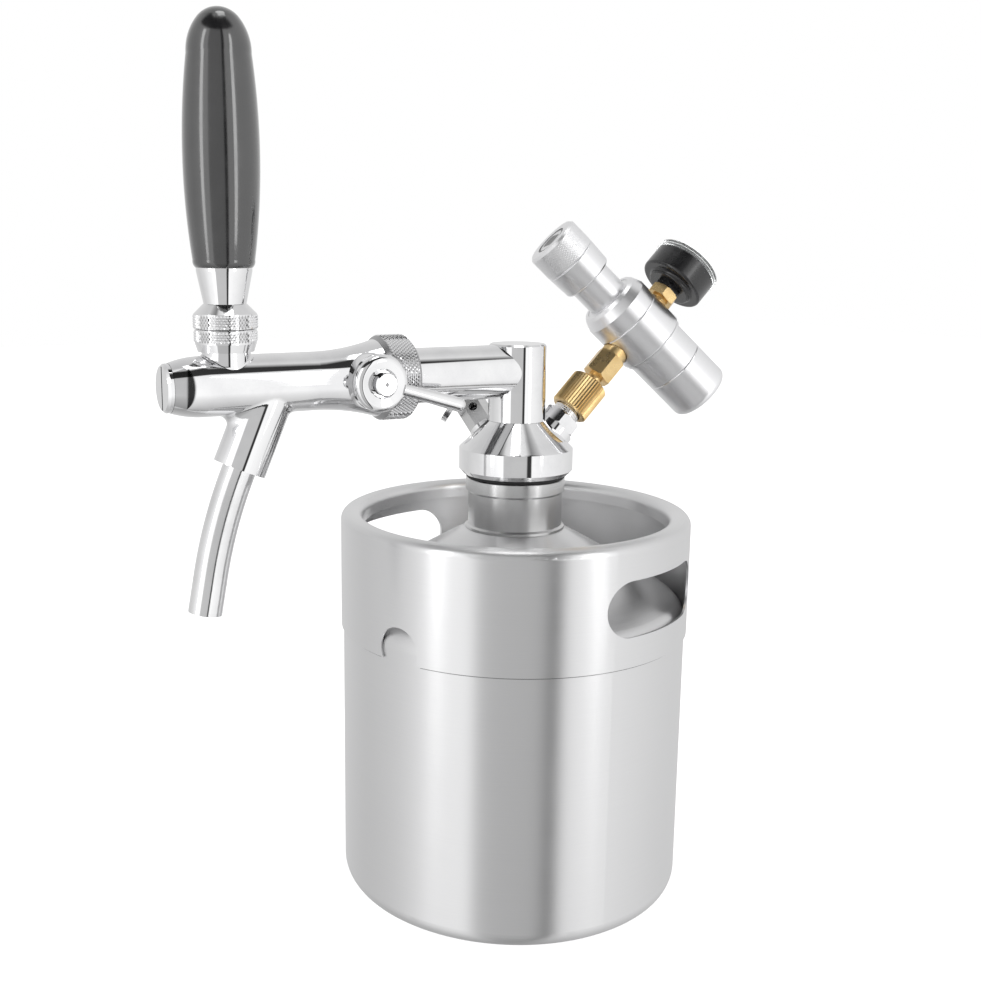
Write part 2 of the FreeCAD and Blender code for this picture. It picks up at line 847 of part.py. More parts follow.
def make_lock_nut():
    cup = dome_reach + face_gap
    rim_z = math.sqrt(cup ** 2 - (lock_radius - 0.25) ** 2)
    mid_r = lock_radius / 2
    mid_z = math.sqrt(cup ** 2 - mid_r ** 2)
    bore = stud_radius + static_gap
    bore_z = math.sqrt(cup ** 2 - bore ** 2)
    band = lock_band_rise - pivot_rise
    top = lock_rise - pivot_rise
    edges = [arc((bore, bore_z), (mid_r, mid_z), (lock_radius - 0.25, rim_z)),
             line((lock_radius - 0.25, rim_z), (lock_radius, rim_z)),
             line((lock_radius, rim_z), (lock_radius, band)),
             line((lock_radius, band), (lock_top_radius, top)),
             line((lock_top_radius, top), (bore, top)),
             line((bore, top), (bore, bore_z))]
    nut = revolve(edges)
    nut.translate(Vector(0, -lever_station, pivot_height))
    return nut


def make_ferrule():
    low = lock_top + static_gap
    bore = stud_radius + static_gap
    return at_lever(turned([(bore, low), (lock_top_radius - 0.3, low), (ferrule_radius, ferrule_top - 1.2),
                            (ferrule_radius, ferrule_top), (bore, ferrule_top)]))


def make_grip():
    low = ferrule_top + static_gap
    bore = stud_radius + static_gap
    hole = stud_top + 1
    waist = tap_height + grip_low_rise
    belly = tap_height + grip_belly_rise
    shoulder = tap_height + grip_shoulder_rise
    brow = tap_height + grip_brow_rise
    top = tap_height + grip_rise
    mid_low = ((grip_foot + grip_low) / 2 + 0.3, (low + waist) / 2 - 0.3)
    mid_side = ((grip_shoulder + grip_brow) / 2 + 0.9, (shoulder + brow) / 2 + 1.2)
    edges = [line((bore, low), (grip_foot, low)),
             arc((grip_foot, low), mid_low, (grip_low, waist)),
             arc((grip_low, waist), (grip_belly, belly), (grip_shoulder, shoulder)),
             arc((grip_shoulder, shoulder), mid_side, (grip_brow, brow)),
             crown((0, top), (grip_brow, brow)),
             line((0, top), (0, hole)),
             line((0, hole), (bore, hole)),
             line((bore, hole), (bore, low))]
    return at_lever(revolve(edges))


# Plunger

def make_plunger():
    disc_end = seat_station - plunger_seal_thick - static_gap
    shaft = turned([(0, disc_end - plunger_disc_length), (plunger_disc, disc_end - plunger_disc_length),
                    (plunger_disc, disc_end), (plunger_stem, disc_end), (plunger_stem, guide_back),
                    (chamber_bore - face_gap, guide_back), (chamber_bore - face_gap, guide_front),
                    (0, guide_front)])
    shaft = on_tap(shaft)
    hole = arm_ball + face_gap
    wedge = (chamber_bore + 1) * math.tan(math.radians(handle_swing)) + arm_radius + 0.8
    cutters = [at_lever(rod(hole, tap_height - chamber_bore - 1, tap_height + chamber_bore + 1)),
               at_lever(swing_slot(tap_height + 2.2, tap_height + 12, -hole, wedge, hole))]
    return shaft.cut(cutters)


def make_plunger_seal():
    low = seat_station - plunger_seal_thick - static_gap / 2
    return on_tap(pipe(plunger_disc, plunger_stem + static_gap, low, low + plunger_seal_thick - static_gap / 2))


# Flow control

def make_flow_ring():
    low = flow_boss_reach + static_gap
    bore = flow_shaft + run_gap
    ring = turned([(bore, low), (flow_ring_radius, low), (flow_ring_radius, flow_ring_reach - 0.5),
                   (flow_ring_radius - 0.5, flow_ring_reach), (bore, flow_ring_reach)])
    return on_flow(ring).cut(on_tap(rod(nut_radius + run_gap, nut_back, nut_front + face_gap)))


def make_flow_lever():
    back = flow_ring_reach + face_gap
    face = flow_disc_reach
    well = hub_radius + 1.3
    edge = flow_disc - 2.6
    mid = (flow_disc - 0.75, face - 0.9)
    edges = [line((flow_shaft + static_gap, back), (flow_disc - 0.6, back)),
             line((flow_disc - 0.6, back), (flow_disc, back + 0.6)),
             line((flow_disc, back + 0.6), (flow_disc, face - 2.4)),
             arc((flow_disc, face - 2.4), mid, (edge, face)),
             line((edge, face), (well, face - 0.4)),
             line((well, face - 0.4), (well - 0.8, face - 2.0)),
             line((well - 0.8, face - 2.0), (flow_shaft + static_gap, face - 2.0)),
             line((flow_shaft + static_gap, face - 2.0), (flow_shaft + static_gap, back))]
    disc = revolve(edges)
    root = flow_disc - 2.5
    arm = turned([(0, root), (flow_lever_root, root), (flow_lever_tip, flow_lever_length - flow_lever_tip),
                  (0, flow_lever_length - flow_lever_tip)])
    arm = arm.fuse(ball(flow_lever_tip, flow_lever_length - flow_lever_tip))
    droop = math.radians(flow_droop)
    reach = Vector(math.cos(droop), -math.sin(droop), 0)
    arm = stand(arm, Vector(0, 0, flow_lever_plane), reach)
    return on_flow(disc.fuse(arm))


def flow_pin_place():
    # At rest the lever is flow_mid degrees short of the middle of the pin's stroke.
    angle = math.radians(90 - flow_mid)
    return flow_offset * math.cos(angle), flow_offset * math.sin(angle)


def make_flow_shaft():
    along, rise = flow_pin_place()
    inner = compensator_base + face_gap
    shaft = rod(flow_shaft, inner, flow_disc_reach - 2.2)
    pin = Part.makeCylinder(flow_pin, inner + 2.5, Vector(-along, -rise, -2))
    return on_flow(shaft.fuse(pin))


def make_flow_hub():
    low = flow_disc_reach - 2.0 + static_gap
    hub = turned([(0, low), (hub_radius, low), (hub_radius, hub_reach - 0.6), (hub_radius - 0.6, hub_reach),
                  (0, hub_reach)])
    return on_flow(hub.cut(rod(0.9, hub_reach - 2, hub_reach + 1)))


def make_compensator():
    along, rise = flow_pin_place()
    cone = turned([(0, compensator_back), (compensator_base * 0.8, compensator_back),
                   (compensator_base, compensator_back + 4), (compensator_base, flow_station - 4),
                   (compensator_nose, compensator_front), (0, compensator_front)])
    cone = on_tap(cone)
    half = flow_pin + face_gap
    centre_y = -flow_station - along
    slot_rise = flow_offset + flow_pin + 0.6
    slot = box(-3, inlet_bore, centre_y - half, centre_y + half, tap_height - slot_rise, tap_height + slot_rise)
    return cone.cut(slot)


# Inlet fitting and swivel nut

def make_adapter():
    seat = inlet_boss_rise + static_gap
    stem = rod(adapter_stem, -adapter_stem_depth, seat)
    body = hex_bar(adapter_flats, seat, adapter_hex_top, 12)
    thread = turned([(0, adapter_hex_top), (adapter_thread, adapter_hex_top), (adapter_thread, adapter_end - 1),
                     (adapter_thread - 1, adapter_end), (0, adapter_end)])
    whole = stem.multiFuse([body, thread]).cut(rod(gas_duct_radius, -adapter_stem_depth - 1, adapter_end + 1))
    return on_inlet(whole)


def make_swivel_nut():
    steps = 2 * swivel_ribs
    corners = []
    for i in range(steps + 1):
        angle = 2 * math.pi * i / steps
        radius = swivel_radius - (swivel_rib if i % 2 else 0)
        corners.append(Vector(radius * math.cos(angle), radius * math.sin(angle), swivel_start))
    nut = Part.Face(Part.makePolygon(corners)).extrude(Vector(0, 0, swivel_end - swivel_start))
    dress = turned([(0, swivel_start), (swivel_radius - 0.9, swivel_start), (swivel_radius, swivel_start + 0.8),
                    (swivel_radius, swivel_end - 0.8), (swivel_radius - 0.9, swivel_end), (0, swivel_end)])
    nut = nut.common(dress)
    nut = nut.cut(rod(adapter_thread + run_gap, swivel_start - 1, swivel_lip))
    return on_inlet(nut.cut(rod(stem_tube + run_gap, swivel_start, swivel_end + 1)))


def make_outlet_stem():
    collar_low = adapter_end + face_gap
    collar_high = swivel_lip - face_gap
    seat = regulator_station - body_radius + spot_depth - static_gap
    tube = turned([(0, collar_low), (adapter_thread - 1, collar_low), (adapter_thread, collar_low + 1),
                   (adapter_thread, collar_high), (stem_tube, collar_high), (stem_tube, stem_hex_start),
                   (0, stem_hex_start)])
    body = hex_bar(stem_hex_flats, stem_hex_start, stem_hex_end, 20)
    flange = rod(stem_flange, stem_hex_end, seat)
    thread = rod(port_thread, seat, seat + 6)
    return on_inlet(tube.multiFuse([body, flange, thread]).cut(rod(gas_duct_radius, 0, seat + 10)))


# Relief valve

def make_relief_body():
    seat = 1.0 + static_gap
    body = hex_bar(relief_flats, seat, relief_top, relief_face_turn + hex_half)
    stem = rod(3.5, -5.5, seat)
    whole = body.fuse(stem).cut(rod(relief_bore, 1, relief_top - 2.2))
    whole = whole.cut(rod(relief_stem + run_gap, -6, relief_top + 1))
    vent = Part.makeCylinder(relief_vent, 20, Vector(0, 0, relief_vent_station), Vector(1, 0, 0))
    vent.rotate(Vector(0, 0, 0), up, relief_face_turn)
    return on_port(whole.cut(vent), relief_azimuth)


def make_relief_spring():
    return on_port(coil(2.4, 0.45, 4, 5.4, 12.4), relief_azimuth)


def coil(mean, wire, turns, low, high):
    # A helical spring between two heights.
    pitch = (high - low - 2 * wire) / turns
    path = Part.makeHelix(pitch, pitch * turns, mean)
    path.translate(Vector(0, 0, low + wire))
    section = Part.Wire(Part.makeCircle(wire, Vector(mean, 0, low + wire), Vector(0, 1, 0)))
    return Part.Wire(path).makePipeShell([section], True, True)


def make_relief_stem():
    disc = turned([(0, 1.6), (relief_bore - face_gap, 1.6), (relief_bore - face_gap, 3.0), (0, 3.0)])
    stem = rod(relief_stem, 1.6, eye_station - 1.5)
    eye = Part.makeCylinder(eye_radius, eye_thick, Vector(-eye_thick / 2, 0, eye_station), Vector(1, 0, 0))
    hole = Part.makeCylinder(eye_hole, 10, Vector(-5, 0, eye_station), Vector(1, 0, 0))
    whole = disc.multiFuse([stem, eye]).cut(hole)
    whole.rotate(Vector(0, 0, 0), up, eye_turn)
    return on_port(whole, relief_azimuth)


def ring_frame():
    # The eye's centre, the level line that the ring swings about, and the way the ring hangs.
    seat, axis, out = port_frame(relief_azimuth)
    azimuth = math.radians(ring_azimuth)
    level = Vector(math.cos(azimuth), math.sin(azimuth), 0)
    lean = math.radians(ring_lean)
    hang = up.cross(level) * math.sin(lean) - up * math.cos(lean)
    return seat + axis * eye_station, level, hang


def make_pull_ring():
    # Two flat coils, shown by the groove between them, hanging through the eye.
    half = ring_width / 2
    groove = 0.25
    inner = ring_mean - ring_thick / 2
    outer = ring_mean + ring_thick / 2
    ring = turned([(inner, -half), (outer, -half), (outer, -groove), (outer - groove, 0),
                   (outer, groove), (outer, half), (inner, half)])
    eye, level, hang = ring_frame()
    return stand(ring, eye + hang * ring_mean, hang.cross(level), level)


# Regulator

def make_regulator_body():
    groove = groove_depth
    mark = body_groove_station
    outline = [(0, body_low), (body_radius - 0.8, body_low), (body_radius, body_low + 0.8),
               (body_radius, mark - groove), (body_radius - groove, mark), (body_radius, mark + groove),
               (body_radius, body_shoulder), (body_top_radius + 1.2, body_top - 1.4),
               (body_top_radius, body_top), (0, body_top)]
    body = turned(outline)
    flat = body_radius - spot_depth
    cutters = [rod(chamber_radius, chamber_floor, body_top + 1),
               rod(2.6, body_low - 1, body_top),
               across_regulator(rod(spot_face, flat, flat + 10)),
               across_regulator(rod(stem_flange + 0.4, -flat - 10, -flat)),
               across_regulator(rod(port_thread + static_gap, -flat - 1, -flat + 8)),
               across_regulator(rod(port_thread + static_gap, flat - 8, flat + 1)),
               across_regulator(rod(gas_duct_radius, -flat, flat))]
    return on_regulator(body.cut(cutters))


def make_regulator_bonnet():
    low = chamber_floor + piston_thick + 5.5
    edge = chamber_radius - static_gap
    outline = [(spring_bore, low), (edge, low), (edge, body_top - 0.2), (bonnet_neck, body_top - 0.2),
               (bonnet_neck, bonnet_neck_top), (bonnet_inner, bonnet_neck_top),
               (bonnet_inner, bonnet_inner_top), (spring_bore, bonnet_inner_top)]
    return on_regulator(turned(outline))


def make_piston():
    low = chamber_floor + static_gap
    high = low + piston_thick
    head = turned([(0, low), (chamber_radius - static_gap, low), (chamber_radius - static_gap, high),
                   (4, high), (4, high + 1.2), (0, high + 1.2)])
    return on_regulator(head)


def make_valve_poppet():
    poppet = turned([(0, body_low + 2.5), (2.3, body_low + 2.5), (2.3, body_low + 7), (1.0, body_low + 8.5),
                     (1.0, chamber_floor), (0, chamber_floor)])
    return on_regulator(poppet)


def make_adjusting_spring():
    low = chamber_floor + piston_thick + 2 * static_gap
    high = follower_top - follower_thick - follower_travel - face_gap
    return on_regulator(coil(spring_mean, spring_wire, spring_turns, low, high))


def make_follower():
    low = follower_top - follower_thick
    return on_regulator(pipe(spring_bore - face_gap, knob_screw + 0.1, low, follower_top))


def make_knob():
    groove = groove_depth
    mark = knob_band
    outline = [(0, knob_screw_low), (knob_screw, knob_screw_low), (knob_screw, bonnet_inner_top + 2),
               (bonnet_inner + run_gap, bonnet_inner_top + 2), (bonnet_inner + run_gap, knob_start + 0.3),
               (bonnet_inner + run_gap + 0.4, knob_start), (knob_skirt - 0.6, knob_start),
               (knob_skirt, knob_start + 0.8), (knob_radius, mark - groove), (knob_radius - groove, mark),
               (knob_radius, mark + groove), (knob_radius, knob_end - 1.1), (knob_radius - 1.1, knob_end),
               (inlay_radius + 0.1, knob_end), (inlay_radius + 0.1, knob_end - inlay_thick - 0.3),
               (0, knob_end - inlay_thick - 0.3)]
    return on_regulator(turned(outline))


def make_inlay():
    low = knob_end - inlay_thick - 0.2
    return on_regulator(rod(inlay_radius, low, low + inlay_thick))


def make_socket_collar():
    high = body_low - static_gap
    inner = collar_radius - 3.4
    outline = [(inner, collar_low), (collar_radius - 0.3, collar_low), (collar_radius, collar_low + 0.3),
               (collar_radius, high - 1.6), (collar_radius + 0.9, high - 1.2), (collar_radius + 0.9, high),
               (2.6, high), (2.6, high - 6), (inner, high - 6)]
    return on_regulator(turned(outline))


def make_cartridge_socket():
    high = collar_low - static_gap
    edge = collar_radius
    diag = socket_round * (1 - math.sqrt(0.5))
    plug = collar_radius - 3.4 - static_gap
    top = body_low - 7
    mouth = cartridge_bore + cartridge_lead
    thread_low = socket_low + cartridge_lead
    thread_high = thread_low + cartridge_thread
    floor = socket_low + cartridge_depth
    edges = [line((2.2, top), (plug, top)),
             line((plug, top), (plug, high)),
             line((plug, high), (edge - 0.3, high)),
             line((edge - 0.3, high), (edge, high - 0.3)),
             line((edge, high - 0.3), (edge, socket_low + socket_round)),
             arc((edge, socket_low + socket_round), (edge - diag, socket_low + diag),
                 (edge - socket_round, socket_low)),
             line((edge - socket_round, socket_low), (mouth, socket_low)),
             line((mouth, socket_low), (cartridge_bore, thread_low)),
             line((cartridge_bore, thread_low), (cartridge_bore, thread_high)),
             line((cartridge_bore, thread_high), (undercut_radius, thread_high)),
             line((undercut_radius, thread_high), (undercut_radius, floor)),
             line((undercut_radius, floor), (2.2, floor)),
             line((2.2, floor), (2.2, top))]
    return on_regulator(revolve(edges))


def make_piercer():
    base = socket_low + cartridge_depth
    pin = turned([(0, base - 3.2), (0.3, base - 3.2), (1.1, base), (2.1, base + 0.2), (2.1, base + 5),
                  (0, base + 5)])
    return on_regulator(pin.cut(rod(0.5, base - 0.5, base + 6)))


def make_piercer_seal():
    base = socket_low + cartridge_depth - static_gap
    return on_regulator(pipe(undercut_radius - static_gap, 2.2, base - 1.8, base))


# Gauge

def make_gauge_stem():
    start = regulator_station + body_radius - spot_depth - 7
    thread = rod(port_thread, start, gauge_thread_end)
    body = hex_bar(stem_hex_flats, gauge_thread_end, gauge_hex_end, 8)
    post = rod(4.0, gauge_hex_end, gauge_back + gauge_wall + 2)
    return on_inlet(thread.multiFuse([body, post]).cut(rod(1.0, start - 1, gauge_back)))


def make_gauge_case():
    socket = hex_bar(stem_hex_flats - 0.8, gauge_hex_end + static_gap, gauge_socket_end, 8)
    soft = gauge_back_round
    cut = soft * (1 - math.sqrt(0.5))
    inner = gauge_radius - gauge_wall
    floor = gauge_back + gauge_wall
    edges = [line((0, gauge_socket_end), (gauge_boss - 0.8, gauge_socket_end)),
             arc((gauge_boss - 0.8, gauge_socket_end), (gauge_boss - 0.234, gauge_socket_end + 0.234),
                 (gauge_boss, gauge_socket_end + 0.8)),
             arc((gauge_boss, gauge_socket_end + 0.8), (gauge_boss + cut, gauge_back - cut),
                 (gauge_boss + soft, gauge_back)),
             line((gauge_boss + soft, gauge_back), (gauge_radius - soft, gauge_back)),
             arc((gauge_radius - soft, gauge_back), (gauge_radius - cut, gauge_back + cut),
                 (gauge_radius, gauge_back + soft)),
             line((gauge_radius, gauge_back + soft), (gauge_radius, gauge_front)),
             line((gauge_radius, gauge_front), (inner, gauge_front)),
             line((inner, gauge_front), (inner, floor)),
             line((inner, floor), (0, floor)),
             line((0, floor), (0, gauge_socket_end))]
    case = revolve(edges).fuse(socket)
    return on_inlet(case.cut(rod(4.0 + static_gap, gauge_hex_end, gauge_back + 3)))


def make_bourdon():
    floor = gauge_back + gauge_wall
    ring = Part.makeTorus(bourdon_mean, bourdon_tube, Vector(0, 0, floor + 2.4), up, 0, 360, 260)
    half = bourdon_tube * 0.7
    foot = box(0, bourdon_mean, -half, half, floor + 2.1, floor + 3.2)
    return on_inlet(ring.fuse(foot))


def make_dial():
    rim = gauge_radius - gauge_wall - static_gap
    plate = pipe(rim, arbor_radius + 0.3, dial_station, dial_station + dial_thick)
    skirt = pipe(rim, rim - 0.8, gauge_back + gauge_wall + static_gap, dial_station)
    return on_inlet(plate.fuse(skirt))


def make_needle():
    hub = rod(1.8, needle_station - 0.2, needle_station + 0.9)
    arbor = rod(arbor_radius, gauge_back + gauge_wall + 4, needle_station + 0.9)
    blade = [Vector(-needle_tail, -0.8, needle_station), Vector(0, -0.8, needle_station),
             Vector(needle_length, -0.2, needle_station), Vector(needle_length, 0.2, needle_station),
             Vector(0, 0.8, needle_station), Vector(-needle_tail, 0.8, needle_station)]
    pointer = Part.Face(Part.makePolygon(blade + [blade[0]])).extrude(Vector(0, 0, 0.5))
    needle = hub.multiFuse([arbor, pointer])
    needle.rotate(Vector(0, 0, 0), up, needle_angle)
    return on_inlet(needle)


def make_lens():
    front = gauge_front + static_gap
    top = front + lens_thick
    skirt = front - 1.6
    inner = gauge_radius - gauge_wall
    fit = gauge_radius + static_gap
    outline = [(0, front + 0.2), (inner - 0.3, front + 0.2), (inner, front), (fit, front), (fit, skirt),
               (lens_radius, skirt), (lens_radius, top - 0.7), (lens_radius - 0.7, top), (0, top)]
    return on_inlet(turned(outline))


makers = {
    "keg_shell": make_shell, "keg_collar": make_collar, "keg_neck": make_neck,
    "neck_gasket": make_gasket, "cap_body": make_cap, "riser_post": make_post,
    "shank_tube": make_shank, "dip_tube": make_dip_tube, "dip_tube_gland": make_gland,
    "tail_gasket": make_tail_gasket, "coupling_nut": make_coupling_nut,
    "tap_body": make_tap_body, "front_plug": make_front_plug, "spout_tube": make_spout_tube,
    "spout_seal": make_spout_seal, "lever_bonnet": make_lever_bonnet, "lever": make_lever,
    "lever_lock_nut": make_lock_nut, "handle_ferrule": make_ferrule, "handle_grip": make_grip,
    "plunger": make_plunger, "plunger_seal": make_plunger_seal,
    "flow_ring": make_flow_ring, "flow_lever": make_flow_lever, "flow_shaft": make_flow_shaft,
    "flow_hub": make_flow_hub, "compensator": make_compensator,
    "inlet_adapter": make_adapter, "swivel_nut": make_swivel_nut, "outlet_stem": make_outlet_stem,
    "relief_body": make_relief_body, "relief_spring": make_relief_spring,
    "relief_stem": make_relief_stem, "pull_ring": make_pull_ring,
    "regulator_body": make_regulator_body, "regulator_bonnet": make_regulator_bonnet,
    "regulator_piston": make_piston, "valve_poppet": make_valve_poppet,
    "adjusting_spring": make_adjusting_spring, "spring_follower": make_follower,
    "adjusting_knob": make_knob, "knob_inlay": make_inlay,
    "socket_collar": make_socket_collar, "cartridge_socket": make_cartridge_socket,
    "piercing_pin": make_piercer, "piercing_seal": make_piercer_seal,
    "gauge_stem": make_gauge_stem, "gauge_case": make_gauge_case, "bourdon_tube": make_bourdon,
    "gauge_dial": make_dial, "gauge_needle": make_needle, "gauge_lens": make_lens,
}

for name, make in makers.items():
    save(name, make())
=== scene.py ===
import json
import math

import bmesh
import bpy
from mathutils import Matrix, Vector


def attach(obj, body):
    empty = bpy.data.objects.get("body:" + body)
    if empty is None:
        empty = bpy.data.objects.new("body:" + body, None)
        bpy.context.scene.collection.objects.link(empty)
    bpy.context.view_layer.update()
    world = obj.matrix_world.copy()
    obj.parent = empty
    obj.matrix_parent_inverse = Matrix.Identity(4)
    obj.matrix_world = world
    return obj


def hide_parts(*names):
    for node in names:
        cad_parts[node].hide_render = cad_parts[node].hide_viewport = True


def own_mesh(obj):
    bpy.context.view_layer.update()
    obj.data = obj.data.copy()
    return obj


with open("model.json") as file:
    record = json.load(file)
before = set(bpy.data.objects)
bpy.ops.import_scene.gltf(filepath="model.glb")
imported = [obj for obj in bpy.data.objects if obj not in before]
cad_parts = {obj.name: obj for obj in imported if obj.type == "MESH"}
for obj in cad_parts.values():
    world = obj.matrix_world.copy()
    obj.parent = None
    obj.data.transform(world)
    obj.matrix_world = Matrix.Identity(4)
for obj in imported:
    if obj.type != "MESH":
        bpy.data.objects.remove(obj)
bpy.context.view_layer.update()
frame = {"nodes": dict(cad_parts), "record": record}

scene = bpy.context.scene
nodes = frame["nodes"]
print("frame loaded:", len(nodes), "nodes")


# Units: every size below is in millimetres, and toMetres brings it to the scene
toMetres = 0.001


def axisFrame(origin, axis, across):
    # A matrix that stands a piece built along +Z on another axis, in metres
    z = Vector(axis).normalized()
    x = Vector(across)
    x = (x - z * x.dot(z)).normalized()
    y = z.cross(x)
    turn = Matrix((x, y, z)).transposed().to_4x4()
    return Matrix.Translation(Vector(origin) * toMetres) @ turn


tapFrame = axisFrame((0, 0, 240), (0, -1, 0), (1, 0, 0))
leverFrame = axisFrame((0, -136.5, 0), (0, 0, 1), (1, 0, 0))
kegFrame = axisFrame((0, 0, 0), (0, 0, 1), (1, 0, 0))
slope = math.sqrt(0.5)
regulatorTurn = math.radians(-13.5)
inletSeat = Vector((0, 19.5, 211.5))
inletAxis = Vector((0, slope, slope))
regulatorAxis = Vector((math.sin(regulatorTurn), -slope * math.cos(regulatorTurn),
                        slope * math.cos(regulatorTurn)))
regulatorCentre = inletSeat + inletAxis * 65.2
inletFrame = axisFrame(inletSeat, inletAxis, regulatorAxis)
regulatorFrame = axisFrame(regulatorCentre, regulatorAxis, inletAxis)


# Node helpers

def newGroup(name, inputs, outputs):
    tree = bpy.data.node_groups.new(name, "ShaderNodeTree")
    for label, kind, value in inputs:
        socket = tree.interface.new_socket(label, in_out="INPUT", socket_type=kind)
        socket.default_value = value
    for label, kind in outputs:
        tree.interface.new_socket(label, in_out="OUTPUT", socket_type=kind)
    return tree, tree.nodes.new("NodeGroupInput"), tree.nodes.new("NodeGroupOutput")


def mathNode(tree, operation, first, second=None, clamp=False):
    node = tree.nodes.new("ShaderNodeMath")
    node.operation = operation
    node.use_clamp = clamp
    for place, value in enumerate((first, second)):
        if value is None:
            continue
        if isinstance(value, (int, float)):
            node.inputs[place].default_value = value
        else:
            tree.links.new(value, node.inputs[place])
    return node.outputs[0]


def plug(tree, kind, values, **settings):
    # A node with its settings, then its inputs by name or number, from sockets or plain values
    node = tree.nodes.new(kind)
    for label, value in settings.items():
        setattr(node, label, value)
    for label, value in values.items():
        if isinstance(value, bpy.types.NodeSocket):
            tree.links.new(value, node.inputs[label])
        else:
            node.inputs[label].default_value = value
    return node


def vectorOf(tree, x, y, z):
    return plug(tree, "ShaderNodeCombineXYZ", {"X": x, "Y": y, "Z": z}).outputs[0]


def product(tree, first, second):
    return mathNode(tree, "MULTIPLY", first, second)


def onRing(tree, angle, radius, height):
    # The point at an angle and radius round Z, at a height
    return vectorOf(tree, product(tree, mathNode(tree, "COSINE", angle), radius),
                    product(tree, mathNode(tree, "SINE", angle), radius), height)


def objectPoint(tree):
    return tree.nodes.new("ShaderNodeTexCoord").outputs["Object"]


grainLook = {
    "lines": {"Scale": 1.0, "Detail": 4.0, "Roughness": 0.65},
    "cloud": {"Scale": 45.0, "Detail": 3.0},
    "lineShare": 0.7, "cloudShare": 0.3, "middle": 0.5,
}


def makeTurnedGrain(look):
    # Fine lines round an axis: the surface's own turning or brushing marks
    tree, inside, outside = newGroup(
        "turnedGrain",
        [("Centre", "NodeSocketVector", (0.0, 0.0, 0.0)),
         ("Turn", "NodeSocketVector", (0.0, 0.0, 0.0)),
         ("Fineness", "NodeSocketFloat", 900.0),
         ("Length", "NodeSocketFloat", 6.0),
         ("Roughness", "NodeSocketFloat", 0.3),
         ("Spread", "NodeSocketFloat", 0.08)],
        [("Roughness", "NodeSocketFloat"), ("Height", "NodeSocketFloat"), ("Mask", "NodeSocketFloat")])
    given = inside.outputs
    point = objectPoint(tree)
    shift = plug(tree, "ShaderNodeVectorMath", {0: point, 1: given["Centre"]}, operation="SUBTRACT")
    turn = plug(tree, "ShaderNodeVectorRotate", {"Vector": shift.outputs[0], "Rotation": given["Turn"]},
                rotation_type="EULER_XYZ")
    split = plug(tree, "ShaderNodeSeparateXYZ", {"Vector": turn.outputs[0]}).outputs
    angle = mathNode(tree, "ARCTAN2", split["Y"], split["X"])
    flat = vectorOf(tree, split["X"], split["Y"], 0.0)
    radius = plug(tree, "ShaderNodeVectorMath", {0: flat}, operation="LENGTH")
    height = mathNode(tree, "ADD", split["Z"], radius.outputs["Value"])
    along = onRing(tree, angle, given["Length"], product(tree, height, given["Fineness"]))
    lines = plug(tree, "ShaderNodeTexNoise", dict(look["lines"], Vector=along)).outputs["Fac"]
    cloud = plug(tree, "ShaderNodeTexNoise", dict(look["cloud"], Vector=point)).outputs["Fac"]
    both = mathNode(tree, "ADD", product(tree, lines, look["lineShare"]),
                    product(tree, cloud, look["cloudShare"]))
    swing = product(tree, mathNode(tree, "SUBTRACT", both, look["middle"]), given["Spread"])
    worn = mathNode(tree, "ADD", given["Roughness"], swing, clamp=True)
    tree.links.new(worn, outside.inputs["Roughness"])
    tree.links.new(lines, outside.inputs["Height"])
    tree.links.new(both, outside.inputs["Mask"])
    return tree


wearLook = {
    "smudge": {"Detail": 5.0, "Roughness": 0.6},
    "curve": {"From Min": 0.42, "From Max": 0.7},
    "wave": {"Scale": 110.0, "Detail": 1.0},
}


def makeHandlingWear(look):
    # Soft smudges and faint scuffs on smooth shiny surfaces
    tree, inside, outside = newGroup(
        "handlingWear",
        [("Scale", "NodeSocketFloat", 60.0),
         ("Roughness", "NodeSocketFloat", 0.05),
         ("Spread", "NodeSocketFloat", 0.05)],
        [("Roughness", "NodeSocketFloat"), ("Height", "NodeSocketFloat"), ("Mask", "NodeSocketFloat")])
    given = inside.outputs
    point = objectPoint(tree)
    smudge = plug(tree, "ShaderNodeTexNoise", dict(look["smudge"], Vector=point, Scale=given["Scale"]))
    curve = plug(tree, "ShaderNodeMapRange", dict(look["curve"], Value=smudge.outputs["Fac"])).outputs[0]
    wave = plug(tree, "ShaderNodeTexNoise", dict(look["wave"], Vector=point)).outputs["Fac"]
    worn = mathNode(tree, "ADD", given["Roughness"], product(tree, curve, given["Spread"]))
    tree.links.new(worn, outside.inputs["Roughness"])
    tree.links.new(wave, outside.inputs["Height"])
    tree.links.new(curve, outside.inputs["Mask"])
    return tree


turnedGrain = makeTurnedGrain(grainLook)
handlingWear = makeHandlingWear(wearLook)


def startMaterial(name):
    material = bpy.data.materials.new(name)
    material.use_nodes = True
    tree = material.node_tree
    shader = tree.nodes["Principled BSDF"]
    return material, tree, shader


def addGroup(tree, group, values):
    node = tree.nodes.new("ShaderNodeGroup")
    node.node_tree = group
    for label, value in values.items():
        node.inputs[label].default_value = value
    return node


def blend(tree, mask, first, second):
    # A colour between two tones, or between a colour socket and a tone, by a mask
    mix = tree.nodes.new("ShaderNodeMix")
    mix.data_type = "RGBA"
    for label, tone in (("A", first), ("B", second)):
        if isinstance(tone, bpy.types.NodeSocket):
            tree.links.new(tone, mix.inputs[label])
        else:
            mix.inputs[label].default_value = (*tone, 1)
    tree.links.new(mask, mix.inputs["Factor"])
    return mix.outputs["Result"]


